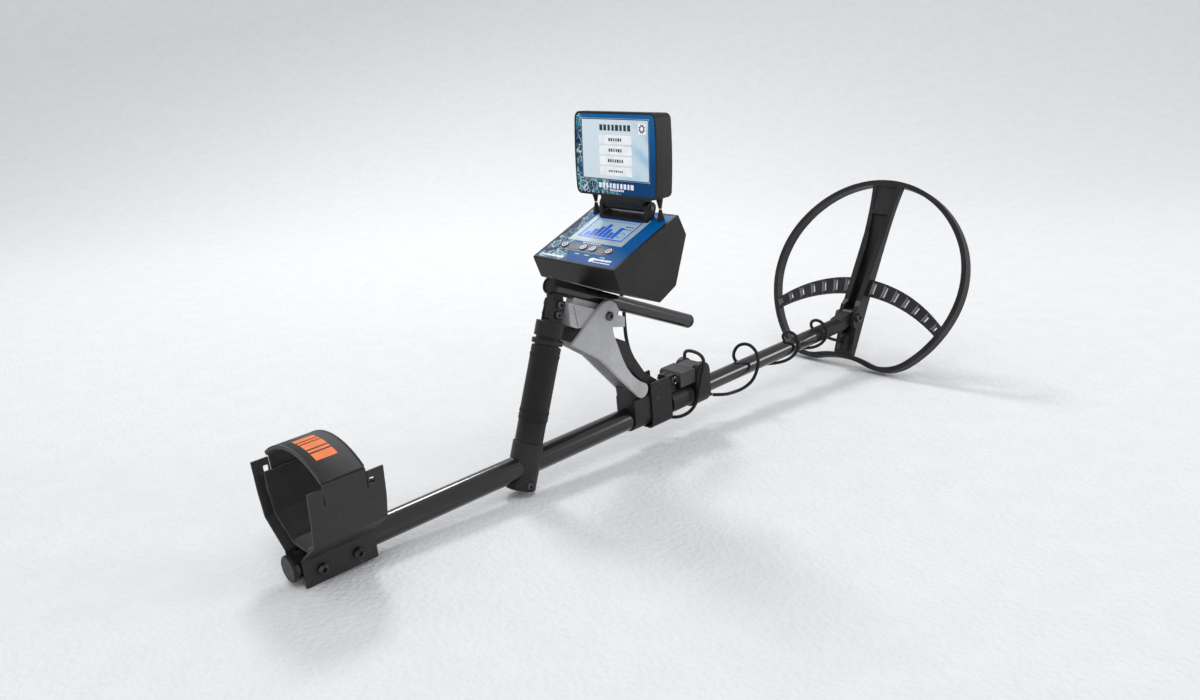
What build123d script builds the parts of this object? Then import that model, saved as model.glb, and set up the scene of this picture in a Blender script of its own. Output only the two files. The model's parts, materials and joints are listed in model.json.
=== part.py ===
from build123d import *
from math import atan2, cos, degrees, pi, radians, sin, sqrt, tan
import os

# A hand-held metal detector: a two-part telescopic shaft with an arm cuff behind, a raked grip and
# braced display head in the middle, and an open-frame search coil hinged at the nose.
#
# Places are given in the shaft's own frame: x runs forward along the shaft from its tail, y to the
# user's left, z away from the shaft on the display side. The shaft's frame is then pitched so that
# the detector stands on the coil's two lobes and on the cuff's side plates.

# ---------------------------------------------------------------- driving dimensions, mm and degrees

# Fits
slip = 0.05                 # radial clearance of a part that is held on another
running = 0.05              # radial clearance of a pin that turns in its bore
sheet_gap = 0.3             # clearance between neighbouring faces of different parts

# Upper shaft
shaft_od = 25.0
shaft_wall = 1.5
shaft_length = 529.0
cap_thickness = 6.0
cap_spigot = 12.0

# Lower shaft
lower_od = 20.0
lower_wall = 1.5
lower_start = 400.0
lower_end = 742.0

# Arm cuff
cuff_start = 7.3
cuff_length = 71.5
cuff_sheet = 1.8
plate_half = 15.6
plate_bottom = -16.5
plate_top = 9.5
wing_low = (45.5, 33.0)
wing_mid = (50.3, 56.0)
wing_top = (52.8, 84.5)
bend_radius = 3.0
tab_start = 14.0
tab_width = 41.0
tab_rise = 3.5
slit_width = 0.9
slit_depth = 15.0
keyhole = (5.0, 6.0)
keyhole_inset = 12.2
keyhole_drop = 9.5
strap_thickness = 3.2
strap_crown = 103.5
pad_thickness = 5.0
pad_start = 8.0
pad_width = 56.0
cuff_bolt_x = (24.5, 60.0)
cuff_bolt_z = -4.0
cuff_bolt_d = 6.0
cuff_head_d = 10.0
cuff_head_h = 4.5

# Grip
grip_x = 263.3
grip_lean = 21.5
socket_od = 32.0
socket_bottom = -25.0
socket_top = 24.0
socket_slit = 2.0
pinch_bolt_drop = 19.0
grip_tube_od = 22.0
grip_tube_wall = 2.0
grip_tube_start = 14.0
spacer_od = 29.0
rubber_od = 30.0
rubber_start = 46.0
rubber_end = 123.0
flange_od = 32.0
flange_start = 125.0
flange_thickness = 5.0
collar_od = 30.0
collar_start = 133.0
collar_end = 148.0
fork_depth = 15.0
fork_width = 16.4
fork_gap = 11.0
fork_root = 158.0
fork_end = 171.0
fork_bolt_t = (156.0, 166.5)
fork_bolt_d = 5.0

# Head bar
bar_od = 16.0
bar_wall = 1.5
bar_start = (318.8, 175.9)
bar_drop = 25.0             # degrees that the bar falls towards the coil
bar_length = 214.0
bar_cap_od = 17.4
bar_cap_length = 7.0
nose_cap_length = 7.0
light_d = 6.0
light_length = 5.0

# Brace between the head bar and the shaft
block_half = 12.0
block_gap = 12.5            # from the bar's axis down to the block's shoulders
block_start = 21.0
block_end = 104.0
block_rear_depth = 23.5
block_front_depth = 10.5
block_rake = 13.0           # how far the block's rear foot stands ahead of its shoulder
cheek_gap = 0.3
cheek_thickness = 4.0
core_half = 9.0
brace_pivot = (382.0, 129.0)
brace_bolt_d = 6.0
foot_centre = (421.0, 33.5)
foot_radius = 9.0
stop_half = 11.0

# Clamps on the upper shaft
saddle_start = 409.0
saddle_end = 462.0
saddle_half = 14.6
saddle_top = 24.0
clamp_plate = 2.0
clamp_start = 433.0
clamp_end = 464.0
clamp_top = 37.0
clamp_bottom = -17.2
sleeve_start = 470.0
sleeve_end = 503.5
sleeve_od = 29.0
sleeve_ear_top = 32.0
lock_bolt_x = 475.5
lock_bolt_z = 26.0
yoke_start = 506.0
yoke_length = 23.0
yoke_half = 17.0
yoke_slot_half = 11.0
yoke_slot_floor = 15.0
lever_pivot_z = 25.2
lever_pin_d = 5.0
lever_ear_radius = 11.3
lever_top = 31.0
lever_sheet = 2.4
lever_half = 16.4
lever_start = 480.5
lever_skirt = 14.0

# Console
console_half = 62.0
console_wall = 3.0
console_profile = ((352.0, 190.5), (360.0, 166.5), (412.0, 142.5), (437.0, 154.5), (457.0, 204.0),
                   (447.0, 227.0))
panel_rim = 3.2
panel_ledge = 4.0
panel_thickness = 1.5
display_size = (82.0, 49.0)
display_depth = 6.0
display_along = 62.0
display_shift = -3.0
button_along = 26.8
button_y = (36.5, 8.0, -6.6, -30.4)
button_d = 8.0
button_height = 1.2
button_travel = 0.8
board_size = (104.0, 74.0)
board_thickness = 1.6
board_drop = 11.0
battery_size = (76.0, 40.0, 20.0)

# Monitor
monitor_centre = (423.3, 288.5)
monitor_back_lean = 4.3
monitor_size = (119.0, 86.0)
monitor_bulge = 1.8
monitor_corner = 7.5
bezel_depth = 8.0
shell_depth = 16.5
monitor_wall = 2.5
fascia_inset = 2.2
fascia_thickness = 1.5
screen_size = (101.0, 63.0)
screen_rise = 5.0
screen_depth = 5.0

# Monitor hinge
hinge_axis = (435.5, 233.6)
hinge_rod_d = 5.0
leaf_half = 31.0
leaf_barrel_d = 10.0
bracket_ear = 5.0
bracket_ear_d = 12.5
bracket_foot_depth = 13.0
bracket_foot_height = 3.0
boot_y = 48.5
boot_wide_d = 7.6
boot_waist_d = 3.2
boot_gap = 1.0
leaf_seat = 0.95            # drop from the monitor's front lower edge to what stands under it

# Search coil
pivot_x = 829.0
pivot_z = 5.0
coil_lean = 27.2            # degrees that the coil's top leans forward of square to the shaft
coil_set = 7.6              # from the hinge bolt forward to the ring's rear face
ring_top = 192.3
ring_arcs = ((150.9, 58.1), (122.0, 47.0), (151.1, 33.3), (61.4, 57.9))
ring_width = 6.5
ring_depth = 13.0
ring_wall = 1.3
ring_cover = 2.0
spine_head_half = 24.5
spine_neck_half = 16.5
spine_waist_half = 14.5
spine_foot_half = 13.5
spine_depth = 8.0
ear_rise = 14.5
clevis_half = 7.5
slot_high = 18.0
slot_low = -24.0
slot_floor = 3.4
tongue_half = 7.2
eye_radius = 10.0
coil_bolt_d = 8.0
web_depth = 5.0
web_top_radius = 201.2
web_top_rise = 54.8
web_low_radius = 224.8
web_low_rise = 32.1
slit_count = 7
slit_first = 6.3
slit_step = 5.45
slit_size = 4.5
slit_margin = 4.2
boss_radius = 8.0
boss_low = -46.0
boss_high = -27.0
gland_s = -35.0

# Cable
cable_d = 4.0
cable_exit = (428.0, 146.0)
cable_exit_y = 13.0
corner_share = 0.45         # part of the shorter run that a corner's arc takes

os.makedirs("parts", exist_ok=True)

# ---------------------------------------------------------------- stance

shaft_r = shaft_od / 2
lower_r = lower_od / 2
bar_r = bar_od / 2
cable_r = cable_d / 2
lean = radians(coil_lean)

# Ring's outline: the four arcs from the crown to the lobe, then a hollow arc to the middle.
turned = sum(angle for radius, angle in ring_arcs)


def lobe_reach():
    """Lowest point of the ring's lobe, measured up the coil from the hinge bolt."""
    heading, y, s = 0.0, 0.0, ring_top
    for radius, angle in ring_arcs[:-1]:
        after = heading + radians(angle)
        y += radius * (sin(after) - sin(heading))
        s += radius * (cos(after) - cos(heading))
        heading = after
    return s - ring_arcs[-1][0] * (1 + cos(heading))


def coil_point(s, h):
    """Shaft-frame x and z of a point s up the coil from the bolt and h behind the ring's rear face."""
    out = h - coil_set
    return (pivot_x + s * sin(lean) - out * cos(lean), pivot_z + s * cos(lean) + out * sin(lean))


lobe_x, lobe_z = coil_point(lobe_reach(), -ring_depth)
pitch = atan2(plate_bottom - lobe_z, lobe_x - cuff_start)
tail_height = cuff_start * -sin(pitch) - plate_bottom * cos(pitch)

crown_radius = ring_arcs[0][0]
crown_x, crown_z = coil_point(ring_top - crown_radius, -ring_depth)
nose_reach = crown_x * cos(pitch) - crown_z * sin(pitch) + crown_radius * sin(lean - pitch)
tail_reach = -shaft_r * sin(pitch)
middle = (nose_reach + tail_reach) / 2

shaft = Plane(
    origin=(-middle, 0, tail_height),
    x_dir=(cos(pitch), 0, sin(pitch)),
    z_dir=(-sin(pitch), 0, cos(pitch)),
)


def at(x, y, z):
    """A point of the shaft's frame."""
    return shaft.from_local_coords(Vector(x, y, z))


def side(y=0.0):
    """Upright plane along the shaft: sketch x runs forward, sketch y up, and it faces right."""
    return Plane(origin=at(0, y, 0), x_dir=shaft.x_dir, z_dir=(0, -1, 0))


def cross(x):
    """Plane square to the shaft: sketch x runs left, sketch y up, and it faces forward."""
    return Plane(origin=at(x, 0, 0), x_dir=(0, 1, 0), z_dir=shaft.x_dir)


def leaning(x, z, angle, y=0.0):
    """Plane whose normal leans forward by an angle from upright; its sketch x runs left."""
    turn = radians(angle)
    normal = shaft.x_dir * sin(turn) + shaft.z_dir * cos(turn)
    return Plane(origin=at(x, y, z), x_dir=(0, 1, 0), z_dir=normal)


def facing(x, z, angle, y=0.0):
    """As leaning, but with sketch x to the right, so that it reads as the user sees it."""
    turn = radians(angle)
    normal = shaft.x_dir * sin(turn) + shaft.z_dir * cos(turn)
    return Plane(origin=at(x, y, z), x_dir=(0, -1, 0), z_dir=normal)


def save(builder, name):
    builder.part.label = name
    export_step(builder.part, f"parts/{name}.step")


# ---------------------------------------------------------------- upper shaft and its cap


with BuildPart() as upper_shaft:
    with BuildSketch(cross(cap_thickness / 2)):
        Circle(shaft_r)
        Circle(shaft_r - shaft_wall, mode=Mode.SUBTRACT)
    extrude(amount=shaft_length - cap_thickness / 2)
    with BuildSketch(side()):
        for x in cuff_bolt_x:
            with Locations((x, cuff_bolt_z)):
                Circle(cuff_bolt_d / 2 + slip)
    extrude(amount=shaft_od, both=True, mode=Mode.SUBTRACT)
save(upper_shaft, "upper_shaft")

with BuildPart() as end_cap:
    with BuildSketch(cross(0)):
        Circle(shaft_r)
    extrude(amount=cap_thickness / 2)
    chamfer(end_cap.faces().sort_by(Axis.X)[0].edges(), 0.8)
    with BuildSketch(cross(cap_thickness / 2)):
        Circle(shaft_r - shaft_wall - slip)
    extrude(amount=cap_spigot)
save(end_cap, "end_cap")

# ---------------------------------------------------------------- arm cuff

wing_outline = ((plate_half, plate_bottom), (plate_half, plate_top), wing_low, wing_mid, wing_top)


def wing(hand):
    """One bent sheet of the cuff: a side plate, a flare and a wing. hand is 1 on the left."""
    points = [(hand * y, z) for y, z in wing_outline[:-1]]
    points.append((hand * wing_top[0], wing_top[1] + tab_rise))
    hole_x = cuff_length - keyhole_inset if hand < 0 else keyhole_inset
    first_slit = tab_start if hand < 0 else cuff_length - tab_start - tab_width
    with BuildPart() as body:
        with BuildSketch(cross(cuff_start)):
            with BuildLine():
                FilletPolyline(*points, radius=bend_radius)
                offset(amount=cuff_sheet, side=Side.RIGHT if hand < 0 else Side.LEFT)
            make_face()
        extrude(amount=cuff_length)
        ends = ((0, first_slit), (first_slit + tab_width, cuff_length))
        with BuildSketch(side()):
            for low, high in ends:
                with Locations((cuff_start + (low + high) / 2, wing_top[1] + tab_rise)):
                    Rectangle(high - low, 2 * tab_rise)
            for x in (first_slit, first_slit + tab_width):
                with Locations((cuff_start + x, wing_top[1] - slit_depth / 2 + tab_rise)):
                    Rectangle(slit_width, slit_depth + 2 * tab_rise)
            with Locations((cuff_start + hole_x, wing_top[1] - keyhole_drop)):
                RectangleRounded(*keyhole, 1.2)
        extrude(amount=-hand * wing_top[0] * 1.2, mode=Mode.SUBTRACT)
        with BuildSketch(side()):
            for x in cuff_bolt_x:
                with Locations((x, cuff_bolt_z)):
                    Circle(cuff_bolt_d / 2 + slip)
        extrude(amount=2 * plate_half, both=True, mode=Mode.SUBTRACT)
    return body


save(wing(1), "cuff_wing_left")
save(wing(-1), "cuff_wing_right")

# Strap over the arm, from inside one wing's tab to inside the other's
strap_foot = wing_top[0] - cuff_sheet - sheet_gap - 0.7
with BuildPart() as cuff_strap:
    with BuildSketch(cross(cuff_start + tab_start)):
        with BuildLine():
            ThreePointArc((-strap_foot, wing_top[1] + 2), (0, strap_crown), (strap_foot, wing_top[1] + 2))
            offset(amount=strap_thickness, side=Side.RIGHT)
        make_face()
    extrude(amount=tab_width)
save(cuff_strap, "cuff_strap")

# Soft pad that lines the wings and bridges the shaft
pad_gap = cuff_sheet + sheet_gap
with BuildPart() as cuff_pad:
    with BuildSketch(cross(cuff_start + pad_start)):
        with BuildLine():
            FilletPolyline(
                (-wing_top[0] + pad_gap + 1.4, wing_top[1] - 11),
                (-wing_mid[0] + pad_gap, wing_mid[1]),
                (-wing_low[0] + pad_gap, wing_low[1] + 1.2),
                (-plate_half + 0.6, shaft_r + sheet_gap),
                (plate_half - 0.6, shaft_r + sheet_gap),
                (wing_low[0] - pad_gap, wing_low[1] + 1.2),
                (wing_mid[0] - pad_gap, wing_mid[1]),
                (wing_top[0] - pad_gap - 1.4, wing_top[1] - 11),
                radius=pad_thickness + 1,
            )
            offset(amount=pad_thickness, side=Side.LEFT)
        make_face()
    extrude(amount=pad_width)
save(cuff_pad, "cuff_pad")


def cross_bolt(x, z, grip_half, bolt_d, head_d, head_h, nut_h):
    """A bolt along y with a round head on the right, a socket in the head, and a nut on the left."""
    with BuildPart() as body:
        with BuildSketch(side(-grip_half)):
            with Locations((x, z)):
                Circle(head_d / 2)
        extrude(amount=head_h)
        chamfer(body.faces().sort_by(Axis.Y)[0].edges(), head_h * 0.3)
        with BuildSketch(side(-grip_half - head_h)):
            with Locations((x, z)):
                RegularPolygon(radius=bolt_d * 0.42, side_count=6)
        extrude(amount=-head_h * 0.6, mode=Mode.SUBTRACT)
        with BuildSketch(side(grip_half + nut_h)):
            with Locations((x, z)):
                Circle(bolt_d / 2)
        extrude(amount=2 * grip_half + nut_h)
        with BuildSketch(side(grip_half + nut_h)):
            with Locations((x, z)):
                RegularPolygon(radius=bolt_d * 0.95, side_count=6)
                Circle(bolt_d / 2, mode=Mode.SUBTRACT)
        extrude(amount=nut_h)
    return body.part


def bolt_set(bolts):
    """Several separate bolts kept as one part."""
    with BuildPart() as body:
        for bolt in bolts:
            add(bolt)
    return body


save(
    bolt_set(
        [
            cross_bolt(x, cuff_bolt_z, plate_half, cuff_bolt_d, cuff_head_d, cuff_head_h, 4.0)
            for x in cuff_bolt_x
        ]
    ),
    "cuff_bolts",
)

# ---------------------------------------------------------------- grip


def grip_plane(t):
    """Plane square to the grip's axis, t up from the shaft's axis."""
    turn = radians(grip_lean)
    return leaning(grip_x + t * sin(turn), t * cos(turn), grip_lean)


def grip_point(t, fore=0.0):
    """Shaft-frame x and z of a point t up the grip and fore ahead of its axis."""
    turn = radians(grip_lean)
    return (grip_x + t * sin(turn) + fore * cos(turn), t * cos(turn) - fore * sin(turn))


def rings_on_grip(inner, bands):
    """Rings in a row on the grip's axis, each band given by its two ends and its outer diameter."""
    with BuildPart() as body:
        for low, high, outer in bands:
            with BuildSketch(grip_plane(low)):
                Circle(outer / 2)
                Circle(inner / 2, mode=Mode.SUBTRACT)
            extrude(amount=high - low)
        longest = max(outer for low, high, outer in bands) / 2
        rims = body.edges().filter_by(GeomType.CIRCLE).filter_by(lambda e: abs(e.radius - longest) < 0.01)
        fillet(rims, 0.6)
    return body


pinch_x, pinch_z = grip_point(-pinch_bolt_drop)
socket_side = sqrt((socket_od / 2) ** 2 - 4) - 2.0

with BuildPart() as grip_socket:
    with BuildSketch(grip_plane(socket_bottom)):
        Circle(socket_od / 2)
    extrude(amount=socket_top - socket_bottom)
    chamfer(grip_socket.edges().filter_by(GeomType.CIRCLE), 0.8)
    with BuildSketch(cross(grip_x - socket_od * 2)):
        Circle(shaft_r + slip)
    extrude(amount=socket_od * 4, mode=Mode.SUBTRACT)
    with BuildSketch(grip_plane(grip_tube_start)):
        Circle(grip_tube_od / 2 + slip)
    extrude(amount=socket_top, mode=Mode.SUBTRACT)
    with BuildSketch(grip_plane(socket_bottom * 1.2)):
        Rectangle(socket_slit, socket_od * 1.5)
    extrude(amount=-socket_bottom, mode=Mode.SUBTRACT)
    with BuildSketch(side()):
        with Locations((pinch_x, pinch_z)):
            Circle(2.5 + slip)
    extrude(amount=socket_od, both=True, mode=Mode.SUBTRACT)
    with BuildSketch(side(-socket_side)):
        with Locations((pinch_x, pinch_z)):
            Circle(4.6)
    extrude(amount=socket_od, mode=Mode.SUBTRACT)
    with BuildSketch(side(socket_side)):
        with Locations((pinch_x, pinch_z)):
            Circle(5.4)
    extrude(amount=-socket_od, mode=Mode.SUBTRACT)
save(grip_socket, "grip_socket")

grip_bore = grip_tube_od + 2 * slip
grip_tube_bore = grip_tube_od - 2 * grip_tube_wall
flange_end = flange_start + flange_thickness

with BuildPart() as grip_tube:
    with BuildSketch(grip_plane(grip_tube_start + sheet_gap)):
        Circle(grip_tube_od / 2)
        Circle(grip_tube_bore / 2, mode=Mode.SUBTRACT)
    extrude(amount=collar_end - grip_tube_start - sheet_gap)
    with BuildSketch(cross(grip_x - grip_tube_od)):
        Circle(shaft_r + sheet_gap)
    extrude(amount=2 * grip_tube_od, mode=Mode.SUBTRACT)
save(grip_tube, "grip_tube")

spacer_band = (socket_top + sheet_gap, rubber_start - sheet_gap, spacer_od)
save(rings_on_grip(grip_bore, [(rubber_start, rubber_end, rubber_od)]), "grip_rubber")
collar_bands = [
    (rubber_end + sheet_gap, flange_start, collar_od - 5),
    (flange_start, flange_end, flange_od),
    (flange_end, collar_start, collar_od - 5),
    (collar_start, collar_end, collar_od),
]
save(rings_on_grip(grip_bore, [spacer_band] + collar_bands), "grip_rings")

stem_r = grip_tube_od / 2 - grip_tube_wall - slip
with BuildPart() as grip_fork:
    with BuildSketch(grip_plane(collar_start)):
        Circle(stem_r)
    extrude(amount=collar_end - collar_start + sheet_gap)
    with BuildSketch(grip_plane(collar_end + sheet_gap)):
        RectangleRounded(fork_width, fork_depth, 1.5)
    extrude(amount=fork_end - collar_end - sheet_gap)
    with BuildSketch(grip_plane(fork_root - 8)):
        Rectangle(fork_gap, 2 * fork_depth)
    extrude(amount=fork_end, mode=Mode.SUBTRACT)
    with BuildSketch(side()):
        for t in fork_bolt_t:
            with Locations(grip_point(t)):
                Circle(fork_bolt_d / 2 + slip)
    extrude(amount=fork_width, both=True, mode=Mode.SUBTRACT)
save(grip_fork, "grip_fork")

# ---------------------------------------------------------------- head bar

fall = radians(bar_drop)


def bar_point(d, h=0.0):
    """Shaft-frame x and z of a point d along the bar and h above its axis."""
    return (bar_start[0] + d * cos(fall) + h * sin(fall), bar_start[1] - d * sin(fall) + h * cos(fall))


def bar_plane(d):
    """Plane square to the bar, facing forward."""
    x, z = bar_point(d)
    return leaning(x, z, 90 + bar_drop)


def bar_distance(x):
    """How far along the bar's axis its point at x lies."""
    return (x - bar_start[0]) / cos(fall)


with BuildPart() as bar_tube:
    with BuildSketch(bar_plane(bar_cap_length)):
        Circle(bar_r)
        Circle(bar_r - bar_wall, mode=Mode.SUBTRACT)
    extrude(amount=bar_length - bar_cap_length)
save(bar_tube, "bar_tube")

with BuildPart() as bar_end_cap:
    with BuildSketch(bar_plane(0)):
        Circle(bar_cap_od / 2)
    extrude(amount=bar_cap_length)
    fillet(bar_end_cap.edges().filter_by(GeomType.CIRCLE), 1.2)
    with BuildSketch(bar_plane(0)):
        Circle(bar_cap_od / 2 - 2.2)
    extrude(amount=1.2, mode=Mode.SUBTRACT)
    with BuildSketch(bar_plane(bar_cap_length)):
        Circle(bar_r - bar_wall - slip)
    extrude(amount=cap_spigot)
save(bar_end_cap, "bar_end_cap")

with BuildPart() as bar_nose_cap:
    with BuildSketch(bar_plane(bar_length)):
        Circle(bar_r)
    extrude(amount=nose_cap_length)
    fillet(bar_nose_cap.faces().sort_by(Axis.X)[-1].edges(), 4.5)
    with BuildSketch(bar_plane(bar_length)):
        Circle(bar_r - bar_wall - slip)
    extrude(amount=-cap_spigot)
    with BuildSketch(bar_plane(bar_length)):
        Circle(light_d / 2 + slip)
    extrude(amount=nose_cap_length, mode=Mode.SUBTRACT)
save(bar_nose_cap, "bar_nose_cap")

with BuildPart() as bar_light:
    with BuildSketch(bar_plane(bar_length + sheet_gap)):
        Circle(light_d / 2)
    extrude(amount=nose_cap_length + light_length - 1.5)
    fillet(bar_light.faces().sort_by(Axis.X)[-1].edges(), light_d / 2 - 0.4)
save(bar_light, "bar_light")

# Lug that ties the bar's rear end into the grip's fork
lug_half = fork_gap / 2 - sheet_gap
with BuildPart() as bar_lug:
    with BuildSketch(side()):
        with BuildLine():
            Polyline(
                bar_point(4, -bar_r + 3),
                bar_point(17, -bar_r + 3),
                grip_point(fork_end + 1, fork_depth / 2 - 1),
                grip_point(fork_root - 7, fork_depth / 2 - 1),
                grip_point(fork_root - 7, -fork_depth / 2 + 1),
                grip_point(fork_end + 1, -fork_depth / 2),
                close=True,
            )
        make_face()
        for t in fork_bolt_t:
            with Locations(grip_point(t)):
                Circle(fork_bolt_d / 2 + slip, mode=Mode.SUBTRACT)
    extrude(amount=lug_half, both=True)
    with BuildSketch(bar_plane(-5)):
        Circle(bar_r + slip)
    extrude(amount=60, mode=Mode.SUBTRACT)
    with BuildSketch(bar_plane(-5)):
        Circle(bar_cap_od / 2 + slip)
    extrude(amount=5 + bar_cap_length + sheet_gap, mode=Mode.SUBTRACT)
save(bar_lug, "bar_lug")

# ---------------------------------------------------------------- brace

block_foot = -block_gap - block_rear_depth
block_heel = block_start + block_rake
block_profile = (
    bar_point(block_start, -block_gap),
    bar_point(block_heel - 3, block_foot + 1.5),
    bar_point(block_heel + 5, block_foot),
    bar_point(block_end + 4, -block_gap - block_front_depth),
    bar_point(block_end, -block_gap),
)

with BuildPart() as brace_block:
    with BuildSketch(side()):
        with BuildLine():
            Polyline(*block_profile, close=True)
        make_face()
    extrude(amount=block_half, both=True)
    fillet(brace_block.edges().filter_by(Axis.Y), 1.5)
    with BuildSketch(side()):
        with BuildLine():
            Polyline(
                bar_point(block_start + 12, 0),
                bar_point(block_start + 12, -block_gap - 1),
                bar_point(block_end - 4, -block_gap - 1),
                bar_point(block_end - 4, 0),
                close=True,
            )
        make_face()
    extrude(amount=bar_r - 2.5, both=True)
    with BuildSketch(bar_plane(0)):
        Circle(bar_r + slip)
    extrude(amount=bar_length, mode=Mode.SUBTRACT)
    with BuildSketch(side()):
        with Locations(brace_pivot):
            Circle(brace_bolt_d / 2 + slip)
    extrude(amount=block_half, both=True, mode=Mode.SUBTRACT)
    for hand in (1, -1):
        with BuildSketch(side(hand * block_half)):
            with BuildLine():
                Polyline(
                    bar_point(block_start + 7, -block_gap - 2),
                    bar_point(block_start + 9, -block_gap - 2),
                    bar_point(block_heel + 8, block_foot + 3),
                    bar_point(block_heel + 6, block_foot + 3),
                    close=True,
                )
            make_face()
        extrude(amount=hand * 1.0, mode=Mode.SUBTRACT)
save(brace_block, "brace_block")

cheek_inner = block_half + cheek_gap
cheek_outer = cheek_inner + cheek_thickness
apex_radius = 16.5


def cheek_outline():
    """Brace cheek: a rounded head on the pivot, a rear heel, and an arm down to a round foot."""
    foot_low = (foot_centre[0] - foot_radius * 0.78, foot_centre[1] - foot_radius * 0.62)
    foot_high = (foot_centre[0] + foot_radius * 0.78, foot_centre[1] + foot_radius * 0.62)
    foot_tip = (foot_centre[0] + foot_radius * 0.62, foot_centre[1] - foot_radius * 0.78)
    head_rear = (brace_pivot[0] - apex_radius * 0.62, brace_pivot[1] + apex_radius * 0.78)
    head_top = (brace_pivot[0] + apex_radius * 0.2, brace_pivot[1] + apex_radius * 0.98)
    head_front = (brace_pivot[0] + apex_radius * 0.85, brace_pivot[1] + apex_radius * 0.2)
    Polyline(foot_low, (366, 84.5), (328.5, 112.0), head_rear)
    ThreePointArc(head_rear, head_top, head_front)
    Spline(head_front, (387.0, 108.5), (391.0, 95.0), (396.5, 78.0), foot_high)
    ThreePointArc(foot_high, foot_tip, foot_low)


def cheek(hand):
    """One moulded cheek of the brace; hand is 1 on the left."""
    with BuildPart() as body:
        with BuildSketch(side(hand * cheek_inner)):
            with BuildLine():
                cheek_outline()
            make_face()
            with Locations(brace_pivot):
                Circle(brace_bolt_d / 2 + slip, mode=Mode.SUBTRACT)
        extrude(amount=-hand * cheek_thickness)
        outer_face = body.faces().sort_by(Axis.Y)[-1 if hand > 0 else 0]
        fillet(outer_face.outer_wire().edges(), 1.4)
    return body


save(cheek(1), "brace_cheek_left")
save(cheek(-1), "brace_cheek_right")

# Dark arm between the cheeks, ahead of them, that stands on the shaft's saddle
with BuildPart() as brace_core:
    with BuildSketch(side()):
        with BuildLine():
            Polyline(
                (393.0, 101.0),
                (410.5, 91.0),
                (419.0, 71.5),
                (433.5, 48.5),
                (452.0, 34.0),
                (452.0, saddle_top + sheet_gap),
                (433.0, saddle_top + sheet_gap),
                (429.5, 39.0),
                (399.0, 76.0),
                (392.0, 92.0),
                close=True,
            )
        make_face()
    extrude(amount=core_half, both=True)
    fillet(brace_core.edges().filter_by(Axis.Y), 1.2)
save(brace_core, "brace_core")

# Rubber stop under the block, between the cheeks' heels
with BuildPart() as brace_stop:
    with BuildSketch(side()):
        with BuildLine():
            Polyline(
                bar_point(block_heel + 8, block_foot + 0.1),
                bar_point(block_heel + 20, block_foot + 2.0),
                (342.5, 107.5),
                (331.5, 113.8),
                close=True,
            )
        make_face()
    extrude(amount=stop_half, both=True)
save(brace_stop, "brace_stop")

fork_bolts = [cross_bolt(*grip_point(t), fork_width / 2, fork_bolt_d, 8.0, 3.0, 3.5) for t in fork_bolt_t]
brace_bolt = cross_bolt(*brace_pivot, cheek_outer, brace_bolt_d, 9.5, 3.0, 4.0)

# ---------------------------------------------------------------- clamps on the shaft

with BuildPart() as brace_saddle:
    with BuildSketch(cross(saddle_start)):
        Circle(saddle_half)
        with Locations((0, saddle_top / 2)):
            Rectangle(2 * saddle_half, saddle_top)
        Circle(shaft_r + slip, mode=Mode.SUBTRACT)
    extrude(amount=saddle_end - saddle_start)
    with BuildSketch(side()):
        with BuildLine():
            Polyline(
                (saddle_start - 2, 36.5),
                (saddle_start, 36.5),
                (saddle_start + 8, 22.0),
                (saddle_start + 8, shaft_r + 3),
                (saddle_start, shaft_r + 3),
                close=True,
            )
        make_face()
    extrude(amount=cheek_inner - 0.4, both=True)
    with BuildSketch(side()):
        with Locations(foot_centre):
            Circle(foot_radius + sheet_gap)
    extrude(amount=saddle_half, both=True, mode=Mode.SUBTRACT)
save(brace_saddle, "brace_saddle")

clamp_inner = saddle_half + sheet_gap
with BuildPart() as rear_clamp:
    with BuildSketch(cross(clamp_start)):
        with BuildLine():
            FilletPolyline(
                (-clamp_inner, clamp_top),
                (-clamp_inner, clamp_bottom + clamp_plate),
                (clamp_inner, clamp_bottom + clamp_plate),
                (clamp_inner, clamp_top),
                radius=6,
            )
            offset(amount=clamp_plate, side=Side.RIGHT)
        make_face()
    extrude(amount=clamp_end - clamp_start)
save(rear_clamp, "rear_clamp")

ear_half = 8.0
with BuildPart() as lock_sleeve:
    with BuildSketch(cross(sleeve_start)):
        Circle(sleeve_od / 2)
    extrude(amount=sleeve_end - sleeve_start)
    with BuildSketch(cross(sleeve_start)):
        with Locations((0, sleeve_ear_top / 2)):
            Rectangle(2 * ear_half, sleeve_ear_top)
    extrude(amount=9.5)
    with BuildSketch(cross(sleeve_start)):
        Circle(shaft_r + slip)
        with Locations((0, sleeve_ear_top / 2)):
            Rectangle(2, sleeve_ear_top + 1)
    extrude(amount=sleeve_end, mode=Mode.SUBTRACT)
    with BuildSketch(side()):
        with Locations((lock_bolt_x, lock_bolt_z)):
            Circle(2.5 + slip)
    extrude(amount=ear_half, both=True, mode=Mode.SUBTRACT)
save(lock_sleeve, "lock_sleeve")

sleeve_bolt = cross_bolt(lock_bolt_x, lock_bolt_z, ear_half, 5.0, 7.5, 3.5, 3.5)
socket_bolt = cross_bolt(pinch_x, pinch_z, socket_side, 5.0, 8.0, 2.5, 3.5)
save(bolt_set(fork_bolts + [brace_bolt, sleeve_bolt, socket_bolt]), "frame_bolts")

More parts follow.
